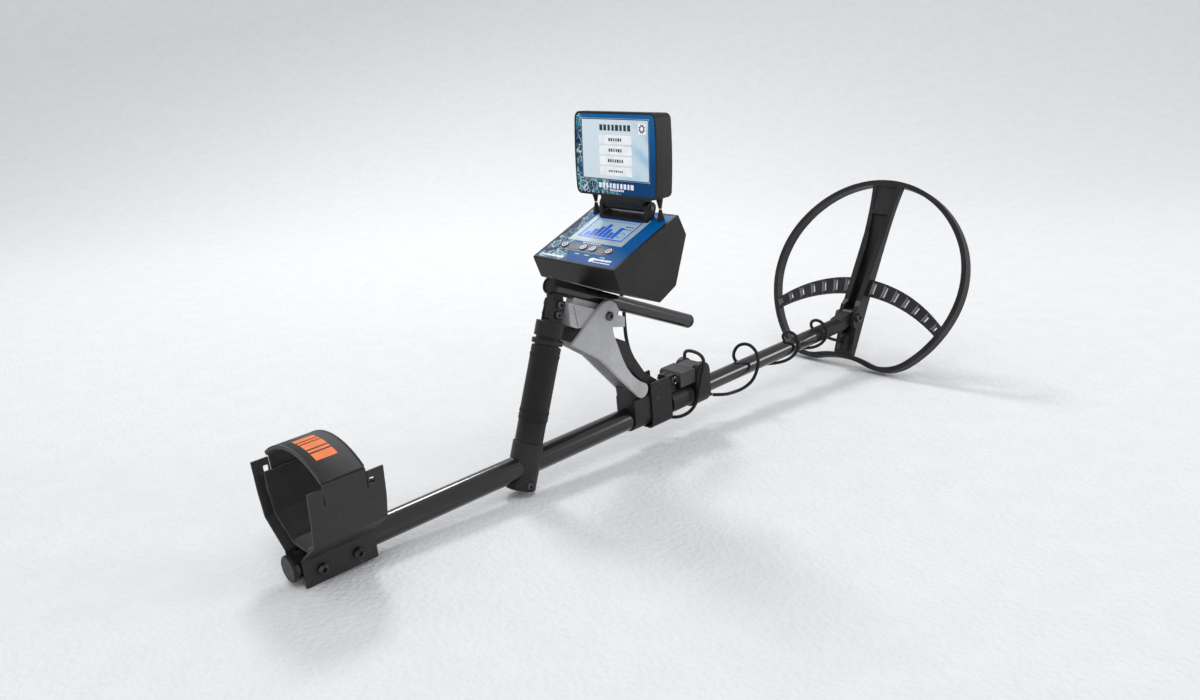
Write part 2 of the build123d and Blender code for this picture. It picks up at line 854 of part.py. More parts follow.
lever_pivot_x = yoke_start + yoke_length / 2
with BuildPart() as front_clamp:
    with BuildSketch(cross(yoke_start)):
        Circle(yoke_half)
        with Locations((0, (lever_pivot_z + lever_ear_radius) / 2)):
            Rectangle(2 * yoke_half, lever_pivot_z + lever_ear_radius)
    extrude(amount=yoke_length)
    with BuildSketch(side()):
        with Locations((lever_pivot_x, 0)):
            Rectangle(yoke_length + 10, 2 * lever_pivot_z)
        with Locations((lever_pivot_x, lever_pivot_z)):
            Circle(lever_ear_radius)
    extrude(amount=yoke_half, both=True, mode=Mode.INTERSECT)
    with BuildSketch(cross(yoke_start)):
        Circle(shaft_r + slip)
        with Locations((0, yoke_slot_floor + 20)):
            Rectangle(2 * yoke_slot_half, 40)
    extrude(amount=yoke_length, mode=Mode.SUBTRACT)
    with BuildSketch(side()):
        with Locations((lever_pivot_x, lever_pivot_z)):
            Circle(lever_pin_d / 2 + slip)
    extrude(amount=yoke_half, both=True, mode=Mode.SUBTRACT)
save(front_clamp, "front_clamp")

with BuildPart() as lever_pin:
    with BuildSketch(side(yoke_half)):
        with Locations((lever_pivot_x, lever_pivot_z)):
            Circle(lever_pin_d / 2)
    extrude(amount=2 * yoke_half)
save(lever_pin, "lever_pin")

tongue_half_lever = yoke_slot_half - sheet_gap
cam_radius = lever_pivot_z - yoke_slot_floor - sheet_gap
cover_end = lever_pivot_x - lever_ear_radius - 1.2
with BuildPart() as lock_lever:
    with BuildSketch(side()):
        with BuildLine():
            Polyline(
                (lever_start, lever_top - lever_skirt),
                (lever_start, lever_top),
                (lever_start + 3, lever_top + lever_sheet),
                (cover_end, lever_top + lever_sheet),
                (cover_end, lever_top - lever_skirt),
                close=True,
            )
        make_face()
    extrude(amount=lever_half, both=True)
    with BuildSketch(side()):
        with Locations(((lever_start + cover_end) / 2, lever_top - lever_skirt)):
            Rectangle(cover_end - lever_start + 2, 2 * lever_skirt)
    extrude(amount=lever_half - lever_sheet, both=True, mode=Mode.SUBTRACT)
    with BuildSketch(side()):
        with Locations((lever_pivot_x, lever_pivot_z)):
            Circle(cam_radius)
        with BuildLine():
            Polyline(
                (cover_end - 1, lever_top),
                (cover_end - 1, lever_top + lever_sheet),
                (lever_pivot_x, lever_pivot_z + cam_radius),
                (lever_pivot_x, lever_pivot_z),
                (lever_pivot_x - 8, lever_pivot_z),
                close=True,
            )
        make_face()
    extrude(amount=tongue_half_lever, both=True)
    with BuildSketch(side()):
        with Locations((lever_pivot_x, lever_pivot_z)):
            Circle(lever_pin_d / 2 + running)
    extrude(amount=yoke_half, both=True, mode=Mode.SUBTRACT)
save(lock_lever, "lock_lever")

with BuildPart() as shaft_bush:
    with BuildSketch(cross(shaft_length - 26)):
        Circle(shaft_r - shaft_wall - slip)
        Circle(lower_r + running, mode=Mode.SUBTRACT)
    extrude(amount=26)
    with BuildSketch(cross(shaft_length + sheet_gap / 2)):
        Circle(shaft_r - 0.3)
        Circle(lower_r + running, mode=Mode.SUBTRACT)
    extrude(amount=2)
    with BuildSketch(cross(shaft_length - 1)):
        Circle(shaft_r - shaft_wall - slip)
        Circle(lower_r + running, mode=Mode.SUBTRACT)
    extrude(amount=2)
save(shaft_bush, "shaft_bush")

# ---------------------------------------------------------------- lower shaft

with BuildPart() as lower_shaft:
    with BuildSketch(cross(lower_start)):
        Circle(lower_r)
        Circle(lower_r - lower_wall, mode=Mode.SUBTRACT)
    extrude(amount=lower_end - lower_start)
    with BuildSketch(cross(lower_start)):
        Circle(shaft_r - shaft_wall - running)
        Circle(lower_r - 0.2, mode=Mode.SUBTRACT)
    extrude(amount=8)
save(lower_shaft, "lower_shaft")

tongue_start = pivot_x - 27
with BuildPart() as shaft_tongue:
    with BuildSketch(cross(lower_end - 30)):
        Circle(lower_r - lower_wall - slip)
    extrude(amount=31)
    with BuildSketch(cross(lower_end + slip)):
        Circle(lower_r)
    extrude(amount=tongue_start - lower_end)
    with BuildSketch(side()):
        with BuildLine():
            Polyline(
                (tongue_start - 6, -lower_r + 0.8),
                (tongue_start - 6, lower_r - 0.8),
                (pivot_x - 6, pivot_z + eye_radius * 0.8),
                (pivot_x, pivot_z),
                (pivot_x - 6, pivot_z - eye_radius * 0.8),
                close=True,
            )
        make_face()
        with Locations((pivot_x, pivot_z)):
            Circle(eye_radius)
    extrude(amount=tongue_half, both=True)
    with BuildSketch(side()):
        with Locations((pivot_x, pivot_z)):
            Circle(coil_bolt_d / 2 + running)
    extrude(amount=tongue_half, both=True, mode=Mode.SUBTRACT)
save(shaft_tongue, "shaft_tongue")

# ---------------------------------------------------------------- search coil


def coil_plane(h=0.0):
    """Plane of the coil, h behind the ring's rear face: sketch x left, sketch y up the coil."""
    x, z = coil_point(0, h)
    return leaning(x, z, 90 + coil_lean)


def coil_slice(s):
    """Plane square to the coil's spine: sketch x left, sketch y to the rear."""
    x, z = coil_point(s, 0)
    return leaning(x, z, coil_lean)


def ring_line():
    """The ring's outline, crown to lobe to middle, and its mirror."""
    start, heading = (0, ring_top), (1, 0)
    for radius, angle in ring_arcs:
        arc = JernArc(start=start, tangent=heading, radius=radius, arc_size=-angle)
        start, heading = arc @ 1, arc % 1
    left_to_turn = turned - 180
    JernArc(
        start=start,
        tangent=heading,
        radius=start.X / sin(radians(left_to_turn)),
        arc_size=left_to_turn,
    )
    mirror(about=Plane.YZ)


def ring_area(inset):
    """All that lies within the ring's outline, inset from it."""
    with BuildSketch(Plane.XY) as area:
        with BuildLine():
            ring_line()
        make_face()
        if inset:
            offset(amount=-inset, mode=Mode.REPLACE)
    return area.sketch


def ring_band(inset, width):
    """A band that follows the ring's outline, inset from it."""
    return ring_area(inset) - ring_area(inset + width)


channel_plan = ring_band(ring_wall, ring_width - 2 * ring_wall)
winding_plan = ring_band(ring_wall + 0.4, ring_width - 2 * ring_wall - 0.8)
ring_plan = ring_band(0, ring_width)
inside_ring = ring_area(ring_width + 0.1)

with BuildPart() as coil_ring:
    with BuildSketch(coil_plane()):
        add(ring_plan)
    extrude(amount=ring_depth - ring_cover)
    with BuildSketch(coil_plane(-ring_wall)):
        add(channel_plan)
    extrude(amount=ring_depth, mode=Mode.SUBTRACT)
save(coil_ring, "coil_ring")

with BuildPart() as coil_winding:
    with BuildSketch(coil_plane(-ring_wall - sheet_gap)):
        add(winding_plan)
    extrude(amount=ring_depth - ring_cover - ring_wall - 2 * sheet_gap)
save(coil_winding, "coil_winding")

with BuildPart() as coil_cover:
    with BuildSketch(coil_plane(-ring_depth + ring_cover)):
        add(ring_plan)
    extrude(amount=ring_cover)
save(coil_cover, "coil_cover")


def spine_outline():
    """Half of the spine seen from behind, and its mirror, running past the ring at both ends."""
    top = Line((0, ring_top + 5), (spine_head_half + 0.6, ring_top + 5))
    edge = Spline(
        top @ 1,
        (spine_neck_half, 122),
        (spine_waist_half, 58),
        (spine_foot_half, 12),
        tangents=[(-0.25, -1), (0, -1)],
    )
    foot = Line(edge @ 1, (spine_foot_half, -70))
    Line(foot @ 1, (0, -70))
    mirror(about=Plane.YZ)


def spine_area():
    """All that lies within the spine's outline."""
    with BuildSketch(Plane.XY) as area:
        with BuildLine():
            spine_outline()
        make_face()
    return area.sketch


with BuildPart() as coil_spine:
    with BuildSketch(coil_plane(ear_rise + 2)):
        add(spine_area())
    extrude(amount=ear_rise + 2 + spine_depth)
    with BuildSketch(coil_plane(ear_rise + 2)):
        add(inside_ring)
    extrude(amount=ear_rise + 2 + spine_depth, mode=Mode.INTERSECT)
    profile = (
        (ring_top, -spine_depth),
        (ring_top, 0),
        (118, 0),
        (22, 10.5),
        (14, ear_rise),
        (-10, ear_rise),
        (-16, 6.0),
        (-27, 4.5),
        (-60, 0),
        (-60, -spine_depth),
    )
    with BuildSketch(side()):
        with BuildLine():
            Polyline(*[coil_point(s, h) for s, h in profile], close=True)
        make_face()
    extrude(amount=spine_head_half * 1.5, both=True, mode=Mode.INTERSECT)
    # long channel that narrows from the badge to the foot
    with BuildSketch(coil_plane(ear_rise + 2)):
        with BuildLine():
            Polyline(
                (12, 145), (7, 100), (6, 16), (-6, 16), (-7, 100), (-12, 145), close=True
            )
        make_face()
    extrude(amount=ear_rise + 2 + 4, mode=Mode.SUBTRACT)
    # plain recess on the head
    with BuildSketch(coil_plane()):
        with BuildLine():
            Polyline((15.5, 183), (13.5, 150), (-13.5, 150), (-15.5, 183), close=True)
        make_face()
    extrude(amount=1.0, mode=Mode.SUBTRACT)
    # clevis slot and its bolt hole
    with BuildSketch(coil_plane(ear_rise + 2)):
        with Locations((0, (slot_high + slot_low) / 2)):
            Rectangle(2 * clevis_half, slot_high - slot_low)
    extrude(amount=ear_rise + 2 + slot_floor, mode=Mode.SUBTRACT)
    with BuildSketch(side()):
        with Locations((pivot_x, pivot_z)):
            Circle(coil_bolt_d / 2 + slip)
    extrude(amount=spine_head_half, both=True, mode=Mode.SUBTRACT)
    # cable boss
    with BuildSketch(coil_slice(boss_low)):
        with Locations((0, 2)):
            Circle(boss_radius)
    extrude(amount=boss_high - boss_low)
    with BuildSketch(coil_plane(boss_radius + 3)):
        with Locations((0, gland_s)):
            Circle(3.4)
    extrude(amount=12, mode=Mode.SUBTRACT)
save(coil_spine, "coil_spine")

web_centre = web_top_rise - web_top_radius
low_centre = web_low_rise - web_low_radius
centre_step = web_centre - low_centre


def low_edge_radius(angle):
    """Distance from the upper arc's centre to the lower arc, at an angle from upright."""
    c = centre_step * cos(radians(angle))
    return -c + sqrt(c * c - centre_step**2 + web_low_radius**2)


with BuildPart() as coil_webs:
    with BuildSketch(coil_plane()):
        with Locations((0, web_centre)):
            Circle(web_top_radius)
        with Locations((0, low_centre)):
            Circle(web_low_radius, mode=Mode.SUBTRACT)
        for hand in (1, -1):
            for index in range(slit_count):
                angle = slit_first + index * slit_step
                near = low_edge_radius(angle) + slit_margin
                far = web_top_radius - slit_margin
                middle_r = (near + far) / 2
                place = (hand * middle_r * sin(radians(angle)), web_centre + middle_r * cos(radians(angle)))
                with Locations(place):
                    Rectangle(slit_size, far - near, rotation=-hand * angle, mode=Mode.SUBTRACT)
    extrude(amount=web_depth)
    with BuildSketch(coil_plane()):
        add(inside_ring)
    extrude(amount=web_depth, mode=Mode.INTERSECT)
    with BuildSketch(coil_plane(1)):
        add(spine_area())
    extrude(amount=web_depth + 2, mode=Mode.SUBTRACT)
save(coil_webs, "coil_webs")

with BuildPart() as cable_gland:
    with BuildSketch(coil_plane(boss_radius + 2 + 3)):
        with Locations((0, gland_s)):
            Circle(3.3)
            Circle(cable_r + sheet_gap, mode=Mode.SUBTRACT)
    extrude(amount=9)
    with BuildSketch(coil_plane(boss_radius + 2 + 3)):
        with Locations((0, gland_s)):
            Circle(4.6)
            Circle(cable_r + sheet_gap, mode=Mode.SUBTRACT)
    extrude(amount=2.6)
save(cable_gland, "cable_gland")

save(bolt_set([cross_bolt(pivot_x, pivot_z, spine_foot_half, coil_bolt_d, 12.0, 4.0, 5.0)]), "coil_bolt")

# ---------------------------------------------------------------- console

panel_near = console_profile[0]
panel_far = console_profile[-1]
panel_angle = degrees(atan2(panel_far[1] - panel_near[1], panel_far[0] - panel_near[0]))
panel_length = sqrt((panel_far[0] - panel_near[0]) ** 2 + (panel_far[1] - panel_near[1]) ** 2)


def panel_point(along, up=0.0):
    """Shaft-frame x and z of a point on the sloping panel, along from its near edge."""
    slope = radians(panel_angle)
    return (
        panel_near[0] + along * cos(slope) - up * sin(slope),
        panel_near[1] + along * sin(slope) + up * cos(slope),
    )


def panel_plane(along, up=0.0):
    """Plane parallel to the sloping panel: sketch x to the right, sketch y up the slope."""
    x, z = panel_point(along, up)
    return facing(x, z, -panel_angle)


with BuildPart() as console_shell:
    with BuildSketch(side()):
        with BuildLine():
            Polyline(*console_profile, close=True)
        make_face()
    extrude(amount=console_half, both=True)
    chamfer(console_shell.edges().filter_by(Axis.Y), 1.0)
    with BuildSketch(side()):
        with BuildLine():
            Polyline(*console_profile, close=True)
        make_face()
        offset(amount=-console_wall, kind=Kind.INTERSECTION, mode=Mode.REPLACE)
    extrude(amount=console_half - console_wall, both=True, mode=Mode.SUBTRACT)
    with BuildSketch(panel_plane(panel_length / 2)):
        Rectangle(2 * (console_half - panel_rim), panel_length - 2 * panel_rim)
    extrude(amount=-panel_thickness - 0.3, mode=Mode.SUBTRACT)
    ledge = panel_rim + panel_ledge
    with BuildSketch(panel_plane(panel_length / 2)):
        Rectangle(2 * (console_half - ledge), panel_length - 2 * ledge)
    extrude(amount=-console_wall * 2, mode=Mode.SUBTRACT)
    with BuildSketch(leaning(*cable_exit, 0, cable_exit_y)):
        Circle(cable_r + 0.8)
    extrude(amount=12, both=True, mode=Mode.SUBTRACT)
save(console_shell, "console_shell")

with BuildPart() as console_panel:
    with BuildSketch(panel_plane(panel_length / 2, -panel_thickness - 0.2)):
        Rectangle(2 * (console_half - panel_rim - slip), panel_length - 2 * (panel_rim + slip))
    extrude(amount=panel_thickness)
    with BuildSketch(panel_plane(display_along)):
        with Locations((display_shift, 0)):
            Rectangle(display_size[0] + 0.4, display_size[1] + 0.4)
    extrude(amount=-10, mode=Mode.SUBTRACT)
    with BuildSketch(panel_plane(button_along)):
        for y in button_y:
            with Locations((-y, 0)):
                Circle(button_d / 2 + 0.3)
    extrude(amount=-10, mode=Mode.SUBTRACT)
save(console_panel, "console_panel")

with BuildPart() as console_display:
    with BuildSketch(panel_plane(display_along, -0.5)):
        with Locations((display_shift, 0)):
            Rectangle(*display_size)
    extrude(amount=-display_depth)
save(console_display, "console_display")

post_x = board_size[0] / 2 - 4
post_y = board_size[1] / 2 - 4
with BuildPart() as console_board:
    with BuildSketch(panel_plane(panel_length / 2, -board_drop)):
        Rectangle(*board_size)
    extrude(amount=-board_thickness)
    with BuildSketch(panel_plane(panel_length / 2, -board_drop)):
        with Locations((post_x, post_y), (-post_x, post_y), (post_x, -post_y), (-post_x, -post_y)):
            Circle(2.5)
    extrude(amount=board_drop - panel_thickness - 0.5)
    with BuildSketch(panel_plane(button_along, -board_drop)):
        for y in button_y:
            with Locations((-y, 0)):
                Rectangle(6, 6)
    extrude(amount=board_drop - 6)
save(console_board, "console_board")

floor_gap = console_wall + sheet_gap
floor_near = console_profile[1]
floor_far = console_profile[2]
floor_angle = degrees(atan2(floor_near[1] - floor_far[1], floor_far[0] - floor_near[0]))
floor_turn = radians(floor_angle)
battery_mid = 29.0
battery_place = (
    floor_near[0] + battery_mid * cos(floor_turn) + floor_gap * sin(floor_turn),
    floor_near[1] - battery_mid * sin(floor_turn) + floor_gap * cos(floor_turn),
)
with BuildPart() as battery_pack:
    with BuildSketch(leaning(*battery_place, floor_angle)):
        RectangleRounded(battery_size[0], battery_size[1], 2)
    extrude(amount=battery_size[2])
save(battery_pack, "battery_pack")

for index, y in enumerate(button_y):
    with BuildPart() as button:
        with BuildSketch(panel_plane(button_along, -panel_thickness - 0.6)):
            with Locations((-y, 0)):
                Circle(button_d / 2)
        extrude(amount=panel_thickness + 0.6 + button_height)
        fillet(button.edges().filter_by(GeomType.CIRCLE).sort_by(Axis.Z)[-1], 0.5)
        with BuildSketch(panel_plane(button_along, -panel_thickness - 0.6)):
            with Locations((-y, 0)):
                Circle(1.5)
        extrude(amount=-(6 - panel_thickness - 0.6 - button_travel - 0.15))
    save(button, f"button_{index + 1}")

# ---------------------------------------------------------------- monitor


def monitor_plane(ahead=0.0):
    """Plane of the monitor's face, ahead of it towards the user."""
    turn = radians(monitor_back_lean)
    x = monitor_centre[0] - ahead * cos(turn)
    z = monitor_centre[1] + ahead * sin(turn)
    return facing(x, z, -90 + monitor_back_lean)


def monitor_outline():
    """The monitor's face: flat top and bottom, slightly bowed sides."""
    w, h = monitor_size[0] / 2, monitor_size[1] / 2
    Polyline((-w, h), (w, h))
    ThreePointArc((w, h), (w + monitor_bulge, 0), (w, -h))
    Polyline((w, -h), (-w, -h))
    ThreePointArc((-w, -h), (-w - monitor_bulge, 0), (-w, h))


def monitor_area(inset=0.0):
    """All that lies within the monitor's rounded outline, inset from its edge."""
    with BuildSketch(Plane.XY) as area:
        with BuildLine():
            monitor_outline()
        make_face()
        fillet(area.vertices(), monitor_corner)
        if inset:
            offset(amount=-inset, mode=Mode.REPLACE)
    return area.sketch


with BuildPart() as monitor_bezel:
    with BuildSketch(monitor_plane()):
        add(monitor_area())
    extrude(amount=-bezel_depth)
    with BuildSketch(monitor_plane()):
        add(monitor_area(fascia_inset))
    extrude(amount=-fascia_thickness - 0.2, mode=Mode.SUBTRACT)
    with BuildSketch(monitor_plane()):
        add(monitor_area(fascia_inset + 2.5))
    extrude(amount=-bezel_depth, mode=Mode.SUBTRACT)
save(monitor_bezel, "monitor_bezel")

with BuildPart() as monitor_fascia:
    with BuildSketch(monitor_plane(-0.2)):
        add(monitor_area(fascia_inset + slip))
        with Locations((0, screen_rise)):
            Rectangle(screen_size[0] + 0.4, screen_size[1] + 0.4, mode=Mode.SUBTRACT)
    extrude(amount=-fascia_thickness)
save(monitor_fascia, "monitor_fascia")

with BuildPart() as monitor_screen:
    with BuildSketch(monitor_plane(-0.5)):
        with Locations((0, screen_rise)):
            Rectangle(*screen_size)
    extrude(amount=-screen_depth)
save(monitor_screen, "monitor_screen")

with BuildPart() as monitor_shell:
    with BuildSketch(monitor_plane(-bezel_depth)):
        add(monitor_area())
    extrude(amount=-shell_depth, taper=4)
    fillet(monitor_shell.faces().sort_by(Axis.X)[-1].edges(), 3.0)
    with BuildSketch(monitor_plane(-bezel_depth)):
        add(monitor_area(monitor_wall))
    extrude(amount=-shell_depth + monitor_wall, taper=4, mode=Mode.SUBTRACT)
save(monitor_shell, "monitor_shell")

# ---------------------------------------------------------------- monitor hinge

bracket_along = (hinge_axis[0] - panel_near[0]) / cos(radians(panel_angle))
with BuildPart() as hinge_bracket:
    with BuildSketch(panel_plane(bracket_along - 2, -0.15)):
        RectangleRounded(2 * (leaf_half + bracket_ear + sheet_gap), bracket_foot_depth, 2)
    extrude(amount=bracket_foot_height)
    for hand in (1, -1):
        with BuildSketch(side(hand * (leaf_half + sheet_gap))):
            with Locations(hinge_axis):
                Circle(bracket_ear_d / 2)
            with BuildLine():
                Polyline(
                    panel_point(bracket_along - 2 - bracket_foot_depth / 2 + 1, 1),
                    panel_point(bracket_along - 2 + bracket_foot_depth / 2 - 1, 1),
                    (hinge_axis[0] + bracket_ear_d / 2 * 0.95, hinge_axis[1] - 2),
                    (hinge_axis[0] - bracket_ear_d / 2 * 0.95, hinge_axis[1] + 2),
                    close=True,
                )
            make_face()
            with Locations(hinge_axis):
                Circle(hinge_rod_d / 2 + slip, mode=Mode.SUBTRACT)
        extrude(amount=-hand * bracket_ear)
save(hinge_bracket, "hinge_bracket")

with BuildPart() as hinge_rod:
    with BuildSketch(side(leaf_half + bracket_ear + 1.5)):
        with Locations(hinge_axis):
            Circle(hinge_rod_d / 2)
    extrude(amount=2 * (leaf_half + bracket_ear + 1.5))
save(hinge_rod, "hinge_rod")

monitor_foot_z = monitor_centre[1] - monitor_size[1] / 2 * cos(radians(monitor_back_lean))
with BuildPart() as hinge_leaf:
    with BuildSketch(side()):
        with Locations(hinge_axis):
            Circle(leaf_barrel_d / 2)
        with BuildLine():
            Polyline(
                (hinge_axis[0] - leaf_barrel_d / 2, hinge_axis[1]),
                (hinge_axis[0] - leaf_barrel_d / 2 - 3, hinge_axis[1] + 6),
                (hinge_axis[0] - leaf_barrel_d / 2 - 3, monitor_foot_z - leaf_seat),
                (hinge_axis[0] + leaf_barrel_d / 2 + 2, monitor_foot_z - leaf_seat),
                (hinge_axis[0] + leaf_barrel_d / 2, hinge_axis[1]),
                close=True,
            )
        make_face()
        with Locations(hinge_axis):
            Circle(hinge_rod_d / 2 + running, mode=Mode.SUBTRACT)
    extrude(amount=leaf_half, both=True)
save(hinge_leaf, "hinge_leaf")

boot_x = hinge_axis[0]
boot_floor = panel_point(bracket_along)[1]
with BuildPart() as wire_boots_lower:
    for hand in (1, -1):
        with BuildSketch(leaning(boot_x, boot_floor - 1, 0, hand * boot_y)):
            Circle(boot_wide_d / 2 + 0.3)
        with BuildSketch(leaning(boot_x, hinge_axis[1] - boot_gap / 2, 0, hand * boot_y)):
            Circle(boot_waist_d / 2)
        loft()
    with BuildSketch(panel_plane(bracket_along, -0.1)):
        Rectangle(4 * boot_y, 8 * boot_wide_d)
    extrude(amount=-2 * boot_wide_d, mode=Mode.SUBTRACT)
save(wire_boots_lower, "wire_boots_lower")

with BuildPart() as wire_boots_upper:
    for hand in (1, -1):
        with BuildSketch(leaning(boot_x, hinge_axis[1] + boot_gap / 2, 0, hand * boot_y)):
            Circle(boot_waist_d / 2)
        with BuildSketch(leaning(boot_x, monitor_foot_z - leaf_seat, 0, hand * boot_y)):
            Circle(boot_wide_d / 2)
        loft()
save(wire_boots_upper, "wire_boots_upper")

# ---------------------------------------------------------------- cable


def around(x, angle, r):
    """A point r from the shaft's axis; the angle runs from left, over the top, to the right."""
    return at(x, r * cos(radians(angle)), r * sin(radians(angle)))


def corner_radii(points):
    """As large an arc at each corner as the two runs beside it leave room for."""
    radii = []
    for before, corner, after in zip(points, points[1:], points[2:]):
        run_in, run_out = corner - before, after - corner
        turn = radians(run_in.get_angle(run_out))
        radii.append(corner_share * min(run_in.length, run_out.length) / tan(turn / 2))
    return radii


def cable(points):
    """A round cable along straight runs joined by tangent arcs."""
    radii = corner_radii(points)
    with BuildPart() as body:
        with BuildLine():
            route = FilletPolyline(*points, radius=radii)
        with BuildSketch(Plane(origin=route @ 0, z_dir=route % 0)):
            Circle(cable_r)
        sweep(path=route)
    error = body.part.volume / (pi * cable_r**2 * route.length) - 1
    print(f"  cable {route.length:6.1f} mm, radii {min(radii):5.1f} to {max(radii):5.1f} mm, "
          f"volume off by {100 * error:5.2f} %")
    return body


over_clamp = lever_pivot_z + lever_ear_radius + cable_r + 6.2
beside_clamp = yoke_half + cable_r + 1.5
rear_route = [
    at(cable_exit[0], cable_exit_y, cable_exit[1] + 5),
    at(cable_exit[0], cable_exit_y, cable_exit[1] - 10),
    at(430.5, 13.4, 120.0),
    at(430.0, 13.5, 104.0),
    at(431.0, 14.4, 86.0),
    at(436.0, 16.4, 69.0),
    at(445.0, 19.2, 53.5),
    at(453.0, 21.4, 38.0),
    at(457.5, 22.0, 21.0),
    at(461.5, 21.0, 4.0),
    at(467.5, 17.0, -12.0),
    at(476.5, 7.0, -22.5),
    at(487.0, -5.0, -24.0),
    at(496.5, -15.5, -16.5),
    at(503.0, -beside_clamp, -2.0),
    at(508.5, -beside_clamp, 19.0),
    at(520.5, -beside_clamp, over_clamp),
    at(525.0, beside_clamp, over_clamp),
    at(530.5, beside_clamp, 19.0),
    at(535.0, beside_clamp - 1, -1.0),
    at(542.5, 13.5, -13.5),
    at(551.5, 3.0, -18.5),
]
save(cable(rear_route), "cable_rear")

middle_route = [
    at(552.0, 2.4, -18.7),
    around(563.0, 250, 21.5),
    around(579.0, 258, 24.0),
    around(595.0, 252, 24.5),
    around(606.0, 228, 21.0),
    around(611.5, 197, 17.5),
    around(616.0, 160, 18.5),
    around(617.5, 125, 24.0),
    around(615.0, 97, 29.0),
    around(609.5, 72, 28.0),
    around(607.0, 42, 21.0),
    around(611.0, 10, 16.0),
    around(622.0, -18, 14.0),
    around(637.0, -38, 13.7),
    around(653.0, -58, 13.7),
    around(668.0, -82, 14.4),
    around(681.0, -108, 15.0),
    around(691.0, -138, 14.2),
    around(697.0, -172, 13.9),
    around(699.5, 152, 15.5),
    around(699.0, 118, 20.0),
    around(697.0, 84, 21.0),
    around(698.5, 50, 17.0),
    around(704.0, 17, 14.2),
    around(714.0, -15, 13.7),
]
save(cable(middle_route), "cable_middle")

gland_x, gland_z = coil_point(gland_s, boss_radius + 2 + 3 + 0.3)
front_route = [
    around(714.6, -17, 13.7),
    around(726.0, -50, 13.8),
    around(738.0, -84, 14.8),
    around(749.0, -118, 14.8),
    around(756.0, -156, 14.0),
    around(758.5, 168, 14.5),
    around(757.5, 132, 18.5),
    around(755.0, 97, 21.0),
    around(756.0, 62, 18.5),
    around(761.0, 28, 14.8),
    around(769.5, -6, 13.9),
    around(780.0, -42, 14.4),
    around(790.0, -72, 17.0),
    at(gland_x - 9.0, 1.2, gland_z + 2.6),
    at(gland_x, 0, gland_z),
]
save(cable(front_route), "cable_front")
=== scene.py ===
"""Looks of a hand-held metal detector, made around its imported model.

Each sub-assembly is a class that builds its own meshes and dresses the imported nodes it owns.
Places are given in the shaft's frame, in millimetres, and Stance turns them into the row's
frame, in metres.
"""

import json
import logging
import math
from dataclasses import dataclass, field
from enum import Enum
from typing import Callable, Iterable, Protocol, Sequence

import bmesh
import bpy
from mathutils import Matrix, Vector


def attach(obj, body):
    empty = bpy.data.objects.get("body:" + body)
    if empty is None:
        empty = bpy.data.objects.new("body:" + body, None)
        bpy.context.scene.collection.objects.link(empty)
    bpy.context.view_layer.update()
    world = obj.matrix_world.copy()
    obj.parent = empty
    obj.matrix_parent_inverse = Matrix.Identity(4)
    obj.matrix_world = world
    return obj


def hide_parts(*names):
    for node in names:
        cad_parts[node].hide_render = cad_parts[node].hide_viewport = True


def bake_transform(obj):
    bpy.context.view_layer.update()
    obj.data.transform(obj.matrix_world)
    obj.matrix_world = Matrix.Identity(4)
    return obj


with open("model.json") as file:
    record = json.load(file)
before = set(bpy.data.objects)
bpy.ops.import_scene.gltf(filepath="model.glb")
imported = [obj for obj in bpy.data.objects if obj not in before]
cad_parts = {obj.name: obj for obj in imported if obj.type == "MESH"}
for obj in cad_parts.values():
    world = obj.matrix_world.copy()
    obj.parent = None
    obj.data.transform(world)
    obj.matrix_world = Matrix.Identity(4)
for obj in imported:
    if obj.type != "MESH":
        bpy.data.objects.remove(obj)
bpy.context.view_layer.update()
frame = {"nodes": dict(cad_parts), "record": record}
LOG = logging.getLogger("detector")
MM = 0.001
LEFT = Vector((0.0, 1.0, 0.0))

Colour = tuple[float, float, float]
Place = tuple[float, float, float]
Flat = list[tuple[float, float]]


class Body(str, Enum):
    """The rigid bodies that pieces ride on."""

    FRAME = "frame"
    MONITOR = "monitor"
    LEVER = "lever"
    LOWER = "lower"
    COIL = "coil"
    BUTTON_1 = "button_1"
    BUTTON_2 = "button_2"
    BUTTON_3 = "button_3"
    BUTTON_4 = "button_4"


# ------------------------------------------------------------------ places

# The coil's hinge from the shaft's tail, along the shaft and off it, in millimetres.
HINGE_AHEAD = 829.0
HINGE_UP = 5.0


@dataclass(frozen=True)
class Stance:
    """How the shaft's frame lies in the row's frame.

    Args:
        tail: The middle of the shaft's tail, in metres.
        ahead: Direction forward along the shaft.
        up: Direction away from the shaft on the display side.
    """

    tail: Vector
    ahead: Vector
    up: Vector

    @classmethod
    def of_record(cls) -> "Stance":
        """Reads the stance from the sliding and tilting joints.

        Returns:
            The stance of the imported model.
        """
        joints = {joint["name"]: joint for joint in frame["record"]["behaviour"]["joints"]}
        ahead = Vector(joints["shaft_slide"]["axis"]).normalized()
        up = ahead.cross(LEFT).normalized()
        hinge = Vector(joints["coil_tilt"]["pos_m"])
        tail = hinge - ahead * (HINGE_AHEAD * MM) - up * (HINGE_UP * MM)
        return cls(tail, ahead, up)

    def at(self, x: float, y: float, z: float) -> Vector:
        """A point of the shaft's frame, in metres in the row's frame."""
        return self.tail + self.ahead * (x * MM) + LEFT * (y * MM) + self.up * (z * MM)

    def way(self, x: float, y: float, z: float) -> Vector:
        """A direction of the shaft's frame."""
        return (self.ahead * x + LEFT * y + self.up * z).normalized()

    def round_shaft(self, x: float, angle: float, radius: float) -> Vector:
        """A point beside the shaft; the angle runs from left, over the top, to the right."""
        turn = math.radians(angle)
        return self.at(x, radius * math.cos(turn), radius * math.sin(turn))


STANCE = Stance.of_record()


